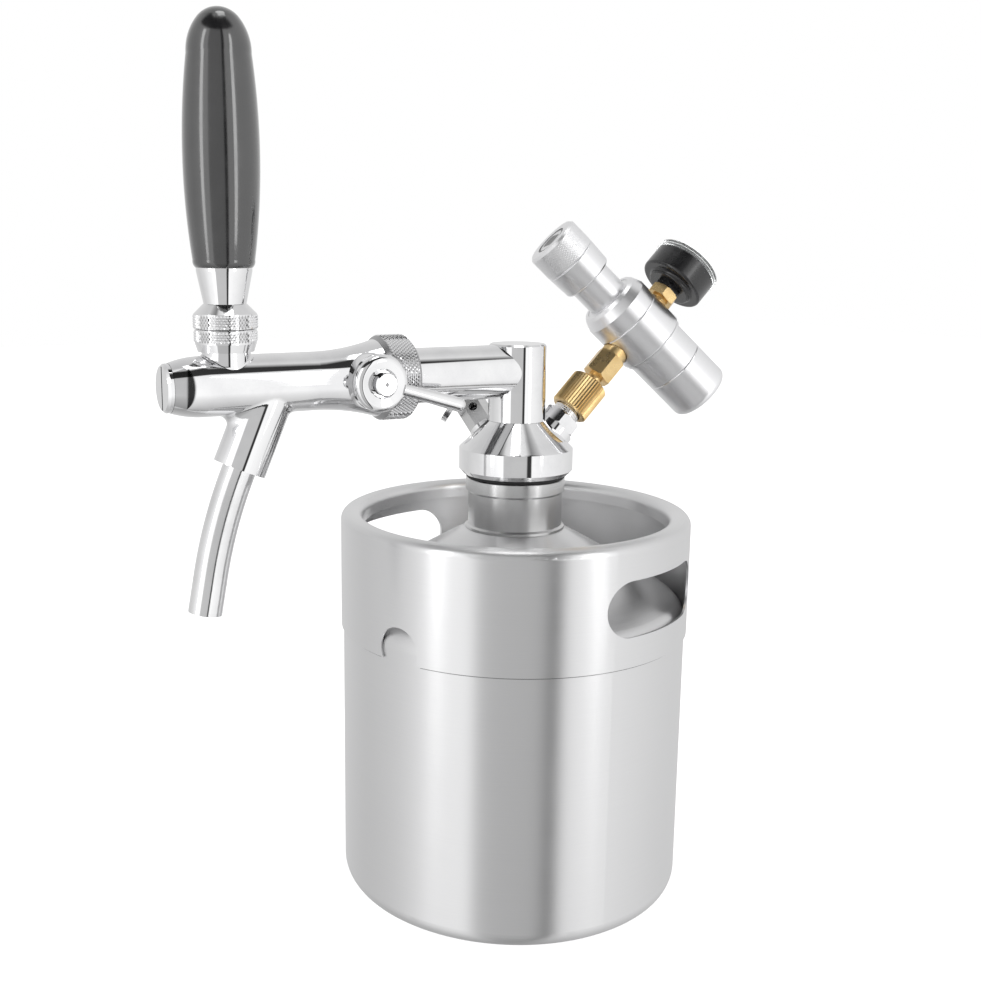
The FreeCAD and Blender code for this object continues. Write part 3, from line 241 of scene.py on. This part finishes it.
def dress(tree, shader, marks, tones, strength, depth):
    # The group's mask, roughness and height go to the shader
    tree.links.new(blend(tree, marks.outputs["Mask"], *tones), shader.inputs["Base Color"])
    tree.links.new(marks.outputs["Roughness"], shader.inputs["Roughness"])
    bump = plug(tree, "ShaderNodeBump", {"Strength": strength, "Distance": depth,
                                         "Height": marks.outputs["Height"]})
    tree.links.new(bump.outputs[0], shader.inputs["Normal"])


bumpDepth = {"turned": 0.00005, "smooth": 0.00008, "coat": 0.0001}


def turnedMetal(name, look, place):
    # A turned or brushed metal; place stands its lines on the piece's own axis
    material, tree, shader = startMaterial(name)
    grain = addGroup(tree, turnedGrain, {
        "Centre": place.translation, "Turn": place.inverted().to_euler("XYZ"), "Fineness": look["fineness"],
        "Length": look["length"], "Roughness": look["roughness"], "Spread": look["spread"]})
    shader.inputs["Metallic"].default_value = 1.0
    shader.inputs["Anisotropic"].default_value = look["anisotropic"]
    shader.inputs["Anisotropic Rotation"].default_value = 0.25
    dress(tree, shader, grain, (look["low"], look["high"]), look["bump"], bumpDepth["turned"])
    return material


def smoothMetal(name, look):
    # Plating or polish with faint handling marks
    material, tree, shader = startMaterial(name)
    wear = addGroup(tree, handlingWear, {
        "Scale": look.get("scale", 60.0), "Roughness": look["roughness"], "Spread": look["spread"]})
    shader.inputs["Metallic"].default_value = 1.0
    dress(tree, shader, wear, (look["high"], look["low"]), look["bump"], bumpDepth["smooth"])
    return material


def smoothCoat(name, look):
    # Lacquer, moulded plastic or rubber
    material, tree, shader = startMaterial(name)
    wear = addGroup(tree, handlingWear, {
        "Scale": look.get("scale", 80.0), "Roughness": look["roughness"], "Spread": look["spread"]})
    shader.inputs["Coat Weight"].default_value = look.get("coat", 0.0)
    shader.inputs["Coat Roughness"].default_value = look.get("coatRoughness", 0.04)
    shader.inputs["IOR"].default_value = look.get("ior", 1.5)
    dress(tree, shader, wear, (look["low"], look["high"]), look["bump"], bumpDepth["coat"])
    return material


brushedLook = {"low": (0.7, 0.7, 0.705), "high": (0.78, 0.78, 0.785), "fineness": 5200.0, "length": 2.5,
               "roughness": 0.33, "spread": 0.14, "bump": 0.14, "anisotropic": 0.8}
neckLook = {"low": (0.6, 0.6, 0.6), "high": (0.7, 0.7, 0.7), "fineness": 4000.0, "length": 2.0,
            "roughness": 0.26, "spread": 0.12, "bump": 0.1, "anisotropic": 0.4}
chromeLook = {"low": (0.78, 0.78, 0.79), "high": (0.86, 0.86, 0.865), "roughness": 0.035, "spread": 0.03,
              "bump": 0.03}
tubeLook = {"low": (0.78, 0.78, 0.785), "high": (0.86, 0.86, 0.865), "roughness": 0.11, "spread": 0.05,
            "bump": 0.03}
springLook = {"low": (0.16, 0.16, 0.165), "high": (0.24, 0.24, 0.245), "roughness": 0.34, "spread": 0.1,
              "bump": 0.08}
plainLook = {"low": (0.6, 0.6, 0.6), "high": (0.7, 0.7, 0.7), "roughness": 0.2, "spread": 0.1, "bump": 0.08}
aluminiumLook = {"low": (0.84, 0.84, 0.85), "high": (0.92, 0.92, 0.93), "fineness": 6500.0, "length": 1.5,
                 "roughness": 0.34, "spread": 0.1, "bump": 0.08, "anisotropic": 0.3}
brassLook = {"low": (0.70, 0.48, 0.21), "high": (0.84, 0.62, 0.31), "roughness": 0.27, "spread": 0.1,
             "bump": 0.08, "scale": 140.0}
gripLook = {"low": (0.012, 0.012, 0.013), "high": (0.022, 0.022, 0.023), "roughness": 0.16, "spread": 0.08,
            "bump": 0.04, "coat": 1.0, "coatRoughness": 0.05, "ior": 1.8}
caseLook = {"low": (0.012, 0.012, 0.013), "high": (0.028, 0.028, 0.03), "roughness": 0.26, "spread": 0.1,
            "bump": 0.06, "coat": 0.4, "coatRoughness": 0.12}
rubberLook = {"low": (0.012, 0.012, 0.012), "high": (0.03, 0.03, 0.03), "roughness": 0.6, "spread": 0.2,
              "bump": 0.2}
inlayLook = {"low": (0.03, 0.03, 0.034), "high": (0.07, 0.07, 0.075), "roughness": 0.3, "spread": 0.15,
             "bump": 0.1, "coat": 0.5}
whiteLook = {"low": (0.8, 0.8, 0.78), "high": (0.88, 0.88, 0.86), "roughness": 0.5, "spread": 0.15,
             "bump": 0.05}


lensLook = {"colour": (0.97, 0.98, 0.98), "clearness": 0.95, "ior": 1.18, "scale": 90.0, "roughness": 0.03,
            "spread": 0.05}


def makeLens(look):
    material, tree, shader = startMaterial("clearLens")
    wear = addGroup(tree, handlingWear, {
        "Scale": look["scale"], "Roughness": look["roughness"], "Spread": look["spread"]})
    shader.inputs["Base Color"].default_value = (*look["colour"], 1)
    shader.inputs["Transmission Weight"].default_value = look["clearness"]
    shader.inputs["IOR"].default_value = look["ior"]
    tree.links.new(wear.outputs["Roughness"], shader.inputs["Roughness"])
    return material


ringedLook = {"low": (0.02, 0.02, 0.022), "high": (0.045, 0.045, 0.048), "ringAndHighlight": (0.78, 0.78, 0.79),
              "dark": (0.008, 0.008, 0.009), "radius": 7.6, "core": 0.66, "rim": 0.84, "band": 3.6,
              "scale": 80.0, "roughness": 0.22, "spread": 0.1}


def makeInlay(look, place):
    # The knob's inlay: a dark rim, a pale ring and a grey band across the middle, with painted highlights at the grey
    # core's two ends
    material, tree, shader = startMaterial("ringedInlay")
    wear = addGroup(tree, handlingWear, {
        "Scale": look["scale"], "Roughness": look["roughness"], "Spread": look["spread"]})
    tree.links.new(wear.outputs["Roughness"], shader.inputs["Roughness"])
    inverse = place.inverted()
    local = plug(tree, "ShaderNodeMapping", {
        "Vector": objectPoint(tree), "Location": inverse.translation, "Rotation": inverse.to_euler("XYZ")})
    split = plug(tree, "ShaderNodeSeparateXYZ", {"Vector": local.outputs[0]}).outputs
    across = product(tree, split["X"], split["X"])
    along = product(tree, split["Y"], split["Y"])
    radius = mathNode(tree, "SQRT", mathNode(tree, "ADD", across, along))
    share = mathNode(tree, "DIVIDE", radius, look["radius"] * toMetres)
    # Painted highlights: beyond the band, the grey core takes the pale ring's tone
    highlightEnds = mathNode(tree, "GREATER_THAN", mathNode(tree, "SQRT", across), look["band"] * toMetres)
    ring = mathNode(tree, "GREATER_THAN", share, look["core"])
    rim = mathNode(tree, "GREATER_THAN", share, look["rim"])
    colour = blend(tree, wear.outputs["Mask"], look["low"], look["high"])
    colour = blend(tree, mathNode(tree, "MAXIMUM", highlightEnds, ring), colour, look["ringAndHighlight"])
    colour = blend(tree, rim, colour, look["dark"])
    tree.links.new(colour, shader.inputs["Base Color"])
    return material


# Painted shade: a darker grey for the nut under the knurl studs, so the grooves between them read dark
grooveShadeLook = {"low": (0.34, 0.34, 0.345), "high": (0.42, 0.42, 0.425), "roughness": 0.3, "spread": 0.1,
              "bump": 0.05}
studLook = {"low": (0.8, 0.8, 0.805), "high": (0.88, 0.88, 0.885), "roughness": 0.18, "spread": 0.06,
            "bump": 0.03}
finishes = {
    "brushed_steel": turnedMetal("brushedKeg", brushedLook, kegFrame),
    "brushed_collar": turnedMetal("brushedCollar", brushedLook, kegFrame),
    "neck_steel": turnedMetal("turnedNeck", neckLook, kegFrame),
    "plain_steel": smoothMetal("plainSteel", plainLook),
    "polished_steel": smoothMetal("polishedChrome", chromeLook),
    "polished_nut": smoothMetal("polishedNut", chromeLook),
    "polished_tube": smoothMetal("polishedTube", tubeLook),
    "spring_steel": smoothMetal("springSteel", springLook),
    "ring_steel": smoothMetal("ringSteel", chromeLook),
    "black_rubber": smoothCoat("blackRubber", rubberLook),
    "black_gloss": smoothCoat("gripLacquer", gripLook),
    "white_plastic": smoothCoat("whitePlastic", whiteLook),
    "bright_brass": smoothMetal("brightBrass", brassLook),
    "satin_aluminium": turnedMetal("satinAluminium", aluminiumLook, regulatorFrame),
    "dark_inlay": makeInlay(ringedLook, regulatorFrame),
    "black_case": smoothCoat("caseEnamel", caseLook),
    "white_dial": smoothCoat("dialWhite", whiteLook),
    "needle_black": smoothCoat("needleBlack", inlayLook),
    "clear_lens": makeLens(lensLook),
}
slotOf = {row["node"]: row["material_slot"] for row in frame["record"]["subparts"]}
for name, node in nodes.items():
    node.data.materials.clear()
    node.data.materials.append(finishes[slotOf[name]])
# Painted shade: the coupling nut's own body, seen between the studs, takes the dark grey
nodes["coupling_nut"].data.materials[0] = smoothMetal("nutGrooveShade", grooveShadeLook)
print("finishes on", len(nodes), "nodes")


# Repeated forms: each is a node tree with named inputs, made into a plain mesh

def newTree(name, inputs):
    tree = bpy.data.node_groups.new(name, "GeometryNodeTree")
    for label, kind in inputs:
        tree.interface.new_socket(label, in_out="INPUT", socket_type=kind)
    tree.interface.new_socket("Geometry", in_out="OUTPUT", socket_type="NodeSocketGeometry")
    return tree, tree.nodes.new("NodeGroupInput").outputs, tree.nodes.new("NodeGroupOutput").inputs[0]


def finishTree(tree, shape, material, out):
    real = plug(tree, "GeometryNodeRealizeInstances", {"Geometry": shape})
    painted = plug(tree, "GeometryNodeSetMaterial", {"Geometry": real.outputs[0], "Material": material})
    tree.links.new(painted.outputs[0], out)
    return tree


def rowPoints(tree, count, place):
    # Points at a place worked out from each one's index
    points = plug(tree, "GeometryNodePoints", {"Count": count})
    placed = plug(tree, "GeometryNodeSetPosition", {"Geometry": points.outputs[0], "Position": place})
    return placed.outputs[0]


def pointIndex(tree):
    return tree.nodes.new("GeometryNodeInputIndex").outputs[0]


def turned(tree, x, y, z):
    return plug(tree, "FunctionNodeEulerToRotation", {"Euler": vectorOf(tree, x, y, z)}).outputs[0]


def sweep(tree, path, bead, sides):
    # A round bead along a curve, closed at its ends
    profile = plug(tree, "GeometryNodeCurvePrimitiveCircle", {"Resolution": sides, "Radius": bead})
    return plug(tree, "GeometryNodeCurveToMesh", {
        "Curve": path, "Profile Curve": profile.outputs[0], "Fill Caps": True}).outputs[0]


def makeKnurlTree(flatTop=0.12):
    # Flat-topped diamonds in staggered rows round the axis
    tree, given, out = newTree("diamondKnurl", [
        ("Around", "NodeSocketInt"), ("Rows", "NodeSocketInt"), ("Radius", "NodeSocketFloat"),
        ("Low", "NodeSocketFloat"), ("Pitch", "NodeSocketFloat"), ("Rise", "NodeSocketFloat"),
        ("Fill", "NodeSocketFloat"), ("Material", "NodeSocketMaterial")])
    around = given["Around"]
    index = pointIndex(tree)
    row = mathNode(tree, "FLOOR", mathNode(tree, "DIVIDE", mathNode(tree, "ADD", index, 0.5), around))
    column = mathNode(tree, "SUBTRACT", index, product(tree, row, around))
    stagger = product(tree, mathNode(tree, "MODULO", row, 2.0), 0.5)
    step = mathNode(tree, "DIVIDE", math.tau, around)
    angle = product(tree, mathNode(tree, "ADD", column, stagger), step)
    height = mathNode(tree, "ADD", given["Low"], product(tree, row, given["Pitch"]))
    placed = rowPoints(tree, product(tree, around, given["Rows"]),
                       onRing(tree, angle, given["Radius"], height))
    stud = plug(tree, "GeometryNodeMeshCone", {
        "Vertices": 4, "Radius Top": flatTop, "Radius Bottom": 1.0, "Depth": 1.0})
    half = product(tree, product(tree, given["Radius"], step), 0.5)
    size = vectorOf(tree, product(tree, given["Pitch"], given["Fill"]),
                    product(tree, half, given["Fill"]), given["Rise"])
    studs = plug(tree, "GeometryNodeInstanceOnPoints", {
        "Points": placed, "Instance": stud.outputs[0], "Rotation": turned(tree, 0.0, math.pi / 2, angle),
        "Scale": size})
    return finishTree(tree, studs.outputs[0], given["Material"], out)


def makeThreadTree(steps=48, sides=8):
    # One round-backed thread wound on the axis
    tree, given, out = newTree("woundThread", [
        ("Radius", "NodeSocketFloat"), ("Low", "NodeSocketFloat"), ("Pitch", "NodeSocketFloat"),
        ("Turns", "NodeSocketFloat"), ("Bead", "NodeSocketFloat"), ("Material", "NodeSocketMaterial")])
    wound = plug(tree, "GeometryNodeCurveSpiral", {
        "Resolution": steps, "Rotations": given["Turns"], "Start Radius": given["Radius"],
        "End Radius": given["Radius"], "Height": product(tree, given["Pitch"], given["Turns"])})
    raised = plug(tree, "GeometryNodeSetPosition", {
        "Geometry": wound.outputs[0], "Offset": vectorOf(tree, 0.0, 0.0, given["Low"])})
    return finishTree(tree, sweep(tree, raised.outputs[0], given["Bead"], sides), given["Material"], out)


def makeRayTree():
    # Small bars set round the axis like the marks of a dial
    tree, given, out = newTree("dialMarks", [
        ("Count", "NodeSocketInt"), ("Start", "NodeSocketFloat"), ("Step", "NodeSocketFloat"),
        ("Radius", "NodeSocketFloat"), ("Low", "NodeSocketFloat"), ("Bar", "NodeSocketVector"),
        ("Material", "NodeSocketMaterial")])
    angle = mathNode(tree, "ADD", given["Start"], product(tree, pointIndex(tree), given["Step"]))
    placed = rowPoints(tree, given["Count"], onRing(tree, angle, given["Radius"], given["Low"]))
    bar = plug(tree, "GeometryNodeMeshCube", {"Size": given["Bar"]})
    bars = plug(tree, "GeometryNodeInstanceOnPoints", {
        "Points": placed, "Instance": bar.outputs["Mesh"], "Rotation": turned(tree, 0.0, 0.0, angle)})
    return finishTree(tree, bars.outputs[0], given["Material"], out)


def makeSeamShadeTree(steps=160, sides=10):
    # Equal arcs of a dark bead round the axis, with a gap between each and the next: partly a brazed joint, partly
    # painted shade under a step
    tree, given, out = newTree("seamShadeBead", [
        ("Count", "NodeSocketInt"), ("Start", "NodeSocketFloat"), ("Step", "NodeSocketFloat"),
        ("Sweep", "NodeSocketFloat"), ("Radius", "NodeSocketFloat"), ("Low", "NodeSocketFloat"),
        ("Bead", "NodeSocketFloat"), ("Material", "NodeSocketMaterial")])
    angle = mathNode(tree, "ADD", given["Start"], product(tree, pointIndex(tree), given["Step"]))
    placed = rowPoints(tree, given["Count"], vectorOf(tree, 0.0, 0.0, given["Low"]))
    arc = plug(tree, "GeometryNodeCurveArc", {
        "Resolution": steps, "Radius": given["Radius"], "Start Angle": 0.0, "Sweep Angle": given["Sweep"]})
    arcs = plug(tree, "GeometryNodeInstanceOnPoints", {
        "Points": placed, "Instance": sweep(tree, arc.outputs[0], given["Bead"], sides),
        "Rotation": turned(tree, 0.0, 0.0, angle)})
    return finishTree(tree, arcs.outputs[0], given["Material"], out)


knurlTree = makeKnurlTree()
seamShadeTree = makeSeamShadeTree()
threadTree = makeThreadTree()
rayTree = makeRayTree()


def keepPiece(name, mesh, place, body):
    mesh.name = name
    mesh.transform(place @ Matrix.Scale(toMetres, 4))
    piece = bpy.data.objects.new(name, mesh)
    scene.collection.objects.link(piece)
    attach(piece, body)
    return piece


def grow(name, tree, look, place, body, slot):
    # Runs a tree with the look's values and keeps its plain mesh
    seed = bpy.data.objects.new(name + "Seed", bpy.data.meshes.new(name + "Seed"))
    scene.collection.objects.link(seed)
    modifier = seed.modifiers.new("grow", "NODES")
    modifier.node_group = tree
    values = dict(look, Material=finishes[slot])
    for item in tree.interface.items_tree:
        if item.in_out == "INPUT":
            modifier[item.identifier] = values[item.name]
    graph = bpy.context.evaluated_depsgraph_get()
    mesh = bpy.data.meshes.new_from_object(seed.evaluated_get(graph))
    seed.modifiers.remove(modifier)
    bpy.data.objects.remove(seed)
    return keepPiece(name, mesh, place, body)


nutKnurl = {"Around": 72, "Rows": 11, "Radius": 17.68, "Low": 59.2, "Pitch": 1.0, "Rise": 0.5,
            "Fill": 0.88}
bonnetKnurl = {"Around": 54, "Rows": 4, "Radius": 12.18, "Low": 258.2, "Pitch": 1.0, "Rise": 0.44,
               "Fill": 0.88}
lockKnurl = {"Around": 54, "Rows": 5, "Radius": 12.38, "Low": 263.6, "Pitch": 1.0, "Rise": 0.44,
             "Fill": 0.88}
knobKnurl = {"Around": 90, "Rows": 15, "Radius": 12.99, "Low": 46.9, "Pitch": 0.7, "Rise": 0.08,
             "Fill": 0.86}
grow("nutKnurl", knurlTree, nutKnurl, tapFrame, "coupling_nut", "polished_nut")
grow("bonnetKnurl", knurlTree, bonnetKnurl, leverFrame, "head", "polished_nut")
grow("lockKnurl", knurlTree, lockKnurl, leverFrame, "handle", "polished_nut")
studMetal = smoothMetal("nutStuds", studLook)
for name in ("nutKnurl", "bonnetKnurl", "lockKnurl"):
    bpy.data.objects[name].data.materials[0] = studMetal
grow("knobKnurl", knurlTree, knobKnurl, regulatorFrame, "knob", "satin_aluminium")
print("knurls cut")

inletThread = {"Radius": 6.16, "Low": 8.75, "Pitch": 0.95, "Turns": 3.3, "Bead": 0.3}
gaugeThread = {"Radius": 4.06, "Low": 80.7, "Pitch": 0.8, "Turns": 3.2, "Bead": 0.27}
grow("inletThread", threadTree, inletThread, inletFrame, "head", "polished_steel")
grow("gaugeThread", threadTree, gaugeThread, inletFrame, "regulator", "bright_brass")
print("threads wound")

# Dark bead at the collar's lower edge: partly the brazed joint, partly painted shade under the collar's step
collarSeamShade = {"Count": 2, "Start": math.radians(119.5), "Step": math.pi, "Sweep": math.radians(163.6),
              "Radius": 79.12, "Low": 122.72, "Bead": 0.32}
grow("collarSeamShade", seamShadeTree, collarSeamShade, kegFrame, "keg", "spring_steel")
print("seam run")

dialTop = 102.6
dialStart = 135
numberStep = -54
marksPerNumber = 10
fineMarks = {"Count": 51, "Start": math.radians(dialStart),
             "Step": math.radians(numberStep / marksPerNumber), "Radius": 12.5, "Low": dialTop, "Bar": (1.1, 0.14, 0.12)}
mainMarks = {"Count": 6, "Start": math.radians(dialStart), "Step": math.radians(numberStep),
             "Radius": 12.0, "Low": dialTop, "Bar": (2.1, 0.32, 0.16)}
grow("fineMarks", rayTree, fineMarks, inletFrame, "regulator", "needle_black")
grow("mainMarks", rayTree, mainMarks, inletFrame, "regulator", "needle_black")


def addNumber(text, look, place):
    curve = bpy.data.curves.new("number" + text, "FONT")
    curve.body = text
    curve.size = look["size"]
    curve.extrude = look["depth"]
    curve.align_x = "CENTER"
    curve.align_y = "CENTER"
    word = bpy.data.objects.new("number" + text, curve)
    scene.collection.objects.link(word)
    graph = bpy.context.evaluated_depsgraph_get()
    mesh = bpy.data.meshes.new_from_object(word.evaluated_get(graph))
    bpy.data.objects.remove(word)
    mesh.materials.clear()
    mesh.materials.append(finishes["needle_black"])
    keepPiece("dialNumber" + text, mesh, place, "regulator")


numberLook = {"size": 3.0, "depth": 0.06, "radius": 8.9, "lift": 0.05,
              "words": ("0", "2", "4", "6", "8", "10")}
upright = Matrix(((0, 1, 0, 0), (-1, 0, 0, 0), (0, 0, 1, 0), (0, 0, 0, 1)))
for count, word in enumerate(numberLook["words"]):
    bearing = math.radians(dialStart + numberStep * count)
    spot = Vector((numberLook["radius"] * math.cos(bearing), numberLook["radius"] * math.sin(bearing),
                   dialTop + numberLook["lift"]))
    addNumber(word, numberLook, inletFrame @ Matrix.Translation(spot * toMetres) @ upright)
print("dial marked")


squashLook = {"node": "adjusting_spring", "body": "regulator", "joint": "piston_slide", "lift": 0.5,
              "merge": 1e-7}


def squashSpring(look):
    # The adjusting spring's mesh is copied with doubled points merged, shaded smooth and hung on the regulator, and
    # the original is hidden
    work = bmesh.new()
    work.from_mesh(nodes[look["node"]].data)
    bmesh.ops.remove_doubles(work, verts=work.verts, dist=look["merge"])
    mesh = bpy.data.meshes.new("springCoil")
    work.to_mesh(mesh)
    work.free()
    for face in mesh.polygons:
        face.use_smooth = True
    mesh.materials.append(finishes["spring_steel"])
    piece = bpy.data.objects.new("springCoil", mesh)
    scene.collection.objects.link(piece)
    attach(piece, look["body"])
    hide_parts(look["node"])
    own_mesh(piece)


squashSpring(squashLook)


# Stage: floor, backdrop, lamps and camera

floorLook = {"size": 6.0, "drop": 0.0002, "colour": (0.93, 0.93, 0.93), "roughness": 0.7, "glow": 0.7}


def addFloor(look):
    # The floor glows white to the eye, takes the soft shadow, and lets metal see the studio below it
    half = look["size"] / 2
    low = -look["drop"]
    mesh = bpy.data.meshes.new("studioFloor")
    mesh.from_pydata([(-half, -half, low), (half, -half, low), (half, half, low), (-half, half, low)], [],
                     [(0, 1, 2, 3)])
    plane = bpy.data.objects.new("studioFloor", mesh)
    scene.collection.objects.link(plane)
    material, tree, shader = startMaterial("studioFloorPaint")
    mesh.materials.append(material)
    shader.inputs["Base Color"].default_value = (*look["colour"], 1)
    shader.inputs["Roughness"].default_value = look["roughness"]
    path = tree.nodes.new("ShaderNodeLightPath").outputs
    seen = mathNode(tree, "MAXIMUM", path["Is Camera Ray"], path["Is Transmission Ray"])
    glow = plug(tree, "ShaderNodeEmission", {
        "Color": (1, 1, 1, 1), "Strength": product(tree, seen, look["glow"])})
    add = plug(tree, "ShaderNodeAddShader", {0: shader.outputs[0], 1: glow.outputs[0]})
    clear = tree.nodes.new("ShaderNodeBsdfTransparent")
    choose = plug(tree, "ShaderNodeMixShader", {
        0: path["Is Glossy Ray"], 1: add.outputs[0], 2: clear.outputs[0]})
    tree.links.new(choose.outputs[0], tree.nodes["Material Output"].inputs["Surface"])


addFloor(floorLook)

lampLook = {
    "leftSoftbox": {"place": (0.25, -1.3, 0.6), "size": (0.22, 1.4), "power": 2.4},
    "rightSoftbox": {"place": (1.31, 0.5, 0.6), "size": (0.18, 1.4), "power": 2.2},
    "topSoftbox": {"place": (0.0, 0.0, 1.5), "size": (0.4, 0.4), "power": 1.2},
}
lampTarget = Vector((0, -0.02, 0.18))


def addLamp(name, look):
    data = bpy.data.lights.new(name, "AREA")
    data.shape = "RECTANGLE"
    data.size = look["size"][0]
    data.size_y = look["size"][1]
    data.energy = look["power"]
    lamp = bpy.data.objects.new(name, data)
    place = Vector(look["place"])
    aim = (lampTarget - place).to_track_quat("-Z", "Y").to_matrix().to_4x4()
    lamp.matrix_world = Matrix.Translation(place) @ aim
    scene.collection.objects.link(lamp)


for name, look in lampLook.items():
    addLamp(name, look)


brightest = 1.5


def addRamp(tree, value, span, stops):
    # Levels along a value; stops are (place, level), and levels may go up to the brightest
    low, high = span
    fit = plug(tree, "ShaderNodeMapRange", {"Value": value, "From Min": low, "From Max": high})
    ramp = plug(tree, "ShaderNodeValToRGB", {0: fit.outputs[0]})
    points = ramp.color_ramp.elements
    points.remove(points[1])
    for count, (place, level) in enumerate(stops):
        share = (place - low) / (high - low)
        point = points[0] if count == 0 else points.new(share)
        point.position = share
        point.color = (level / brightest, level / brightest, level / brightest, 1)
    return product(tree, ramp.outputs["Color"], brightest)


worldLook = {
    "seen": 1.0, "fill": 0.6, "turn": 32.0, "edge": 0.1,
    "walls": ((-180, 0.75), (-150, 0.72), (-110, 0.66), (-80, 0.78), (-60, 0.98), (-45, 1.05), (-32, 1.2),
              (-25, 1.25), (-23, 0.6), (22, 0.58), (24, 0.04), (31, 0.04), (33, 1.1), (60, 1.02), (90, 0.92),
              (120, 0.8), (150, 0.72), (180, 0.75)),
    "heights": ((-90, 0.5), (-60, 0.72), (-42, 0.85), (-25, 1.05), (30, 1.05), (60, 0.95), (90, 0.85)),
    "beam": ((-90, 1.0), (45, 1.0), (48, 0.04), (72, 0.04), (77, 1.0), (90, 1.0)),
}


def makeWorld(look):
    # White to the eye. Metal mirrors a studio: walls by bearing from the camera, floor to ceiling
    # by height, and a dark beam high on the camera's side.
    world = bpy.data.worlds.new("studio")
    scene.world = world
    world.use_nodes = True
    tree = world.node_tree
    backdrop = tree.nodes["Background"]
    path = tree.nodes.new("ShaderNodeLightPath").outputs
    direction = tree.nodes.new("ShaderNodeTexCoord").outputs["Generated"]
    turn = plug(tree, "ShaderNodeVectorRotate", {"Vector": direction, "Angle": math.radians(look["turn"])},
                rotation_type="Z_AXIS")
    split = plug(tree, "ShaderNodeSeparateXYZ", {"Vector": turn.outputs[0]}).outputs
    bearing = mathNode(tree, "DEGREES", mathNode(tree, "ARCTAN2", split["Y"], split["X"]))
    height = mathNode(tree, "DEGREES", mathNode(tree, "ARCSINE", split["Z"]))
    walls = addRamp(tree, bearing, (-180, 180), look["walls"])
    level = addRamp(tree, height, (-90, 90), look["heights"])
    beam = addRamp(tree, height, (-90, 90), look["beam"])
    front = plug(tree, "ShaderNodeMapRange", {
        "Value": split["X"], "From Min": -look["edge"], "From Max": look["edge"]})
    gap = product(tree, mathNode(tree, "SUBTRACT", 1.0, beam), front.outputs[0])
    studio = product(tree, product(tree, walls, level), mathNode(tree, "SUBTRACT", 1.0, gap))
    glossy = path["Is Glossy Ray"]
    straight = mathNode(tree, "MAXIMUM", path["Is Camera Ray"], path["Is Transmission Ray"])
    other = mathNode(tree, "SUBTRACT", 1.0, mathNode(tree, "MAXIMUM", glossy, straight))
    unseen = mathNode(tree, "ADD", product(tree, straight, look["seen"]),
                      product(tree, other, look["fill"]))
    strength = mathNode(tree, "ADD", product(tree, glossy, studio), unseen)
    backdrop.inputs["Color"].default_value = (1, 1, 1, 1)
    tree.links.new(strength, backdrop.inputs["Strength"])


makeWorld(worldLook)

cameraLook = {"distance": 555.8, "height": 298.4, "turn": 58.0, "yaw": -3.709, "pitch": 10.94,
              "roll": -0.4261, "near": 0.01, "focal": 1230.0, "centre": (437.0, 476.0), "frame": 981.0, "sensor": 36.0}


def addCamera(look):
    # The fitted camera: its own frame is turned about Z so that the tap points along -Y
    turn = Matrix.Rotation(math.radians(look["turn"]), 3, "Z")
    place = turn @ Vector((0, -look["distance"], look["height"]))
    yaw = math.radians(look["yaw"])
    pitch = math.radians(look["pitch"])
    roll = math.radians(look["roll"])
    forward = Vector((math.sin(yaw) * math.cos(pitch), math.cos(yaw) * math.cos(pitch), -math.sin(pitch)))
    level = Vector((math.cos(yaw), -math.sin(yaw), 0))
    down = forward.cross(level)
    right = turn @ (level * math.cos(roll) + down * math.sin(roll))
    upward = turn @ (level * math.sin(roll) - down * math.cos(roll))
    back = turn @ -forward
    data = bpy.data.cameras.new("photoCamera")
    data.sensor_width = look["sensor"]
    data.lens = look["focal"] / look["frame"] * look["sensor"]
    data.shift_x = (look["frame"] / 2 - look["centre"][0]) / look["frame"]
    data.shift_y = (look["centre"][1] - look["frame"] / 2) / look["frame"]
    data.clip_start = look["near"]
    camera = bpy.data.objects.new("photoCamera", data)
    facing = Matrix((right, upward, back)).transposed().to_4x4()
    camera.matrix_world = Matrix.Translation(place * toMetres) @ facing
    scene.collection.objects.link(camera)
    scene.camera = camera


addCamera(cameraLook)
scene.view_settings.view_transform = "Standard"
print("stage, lamps and camera set")
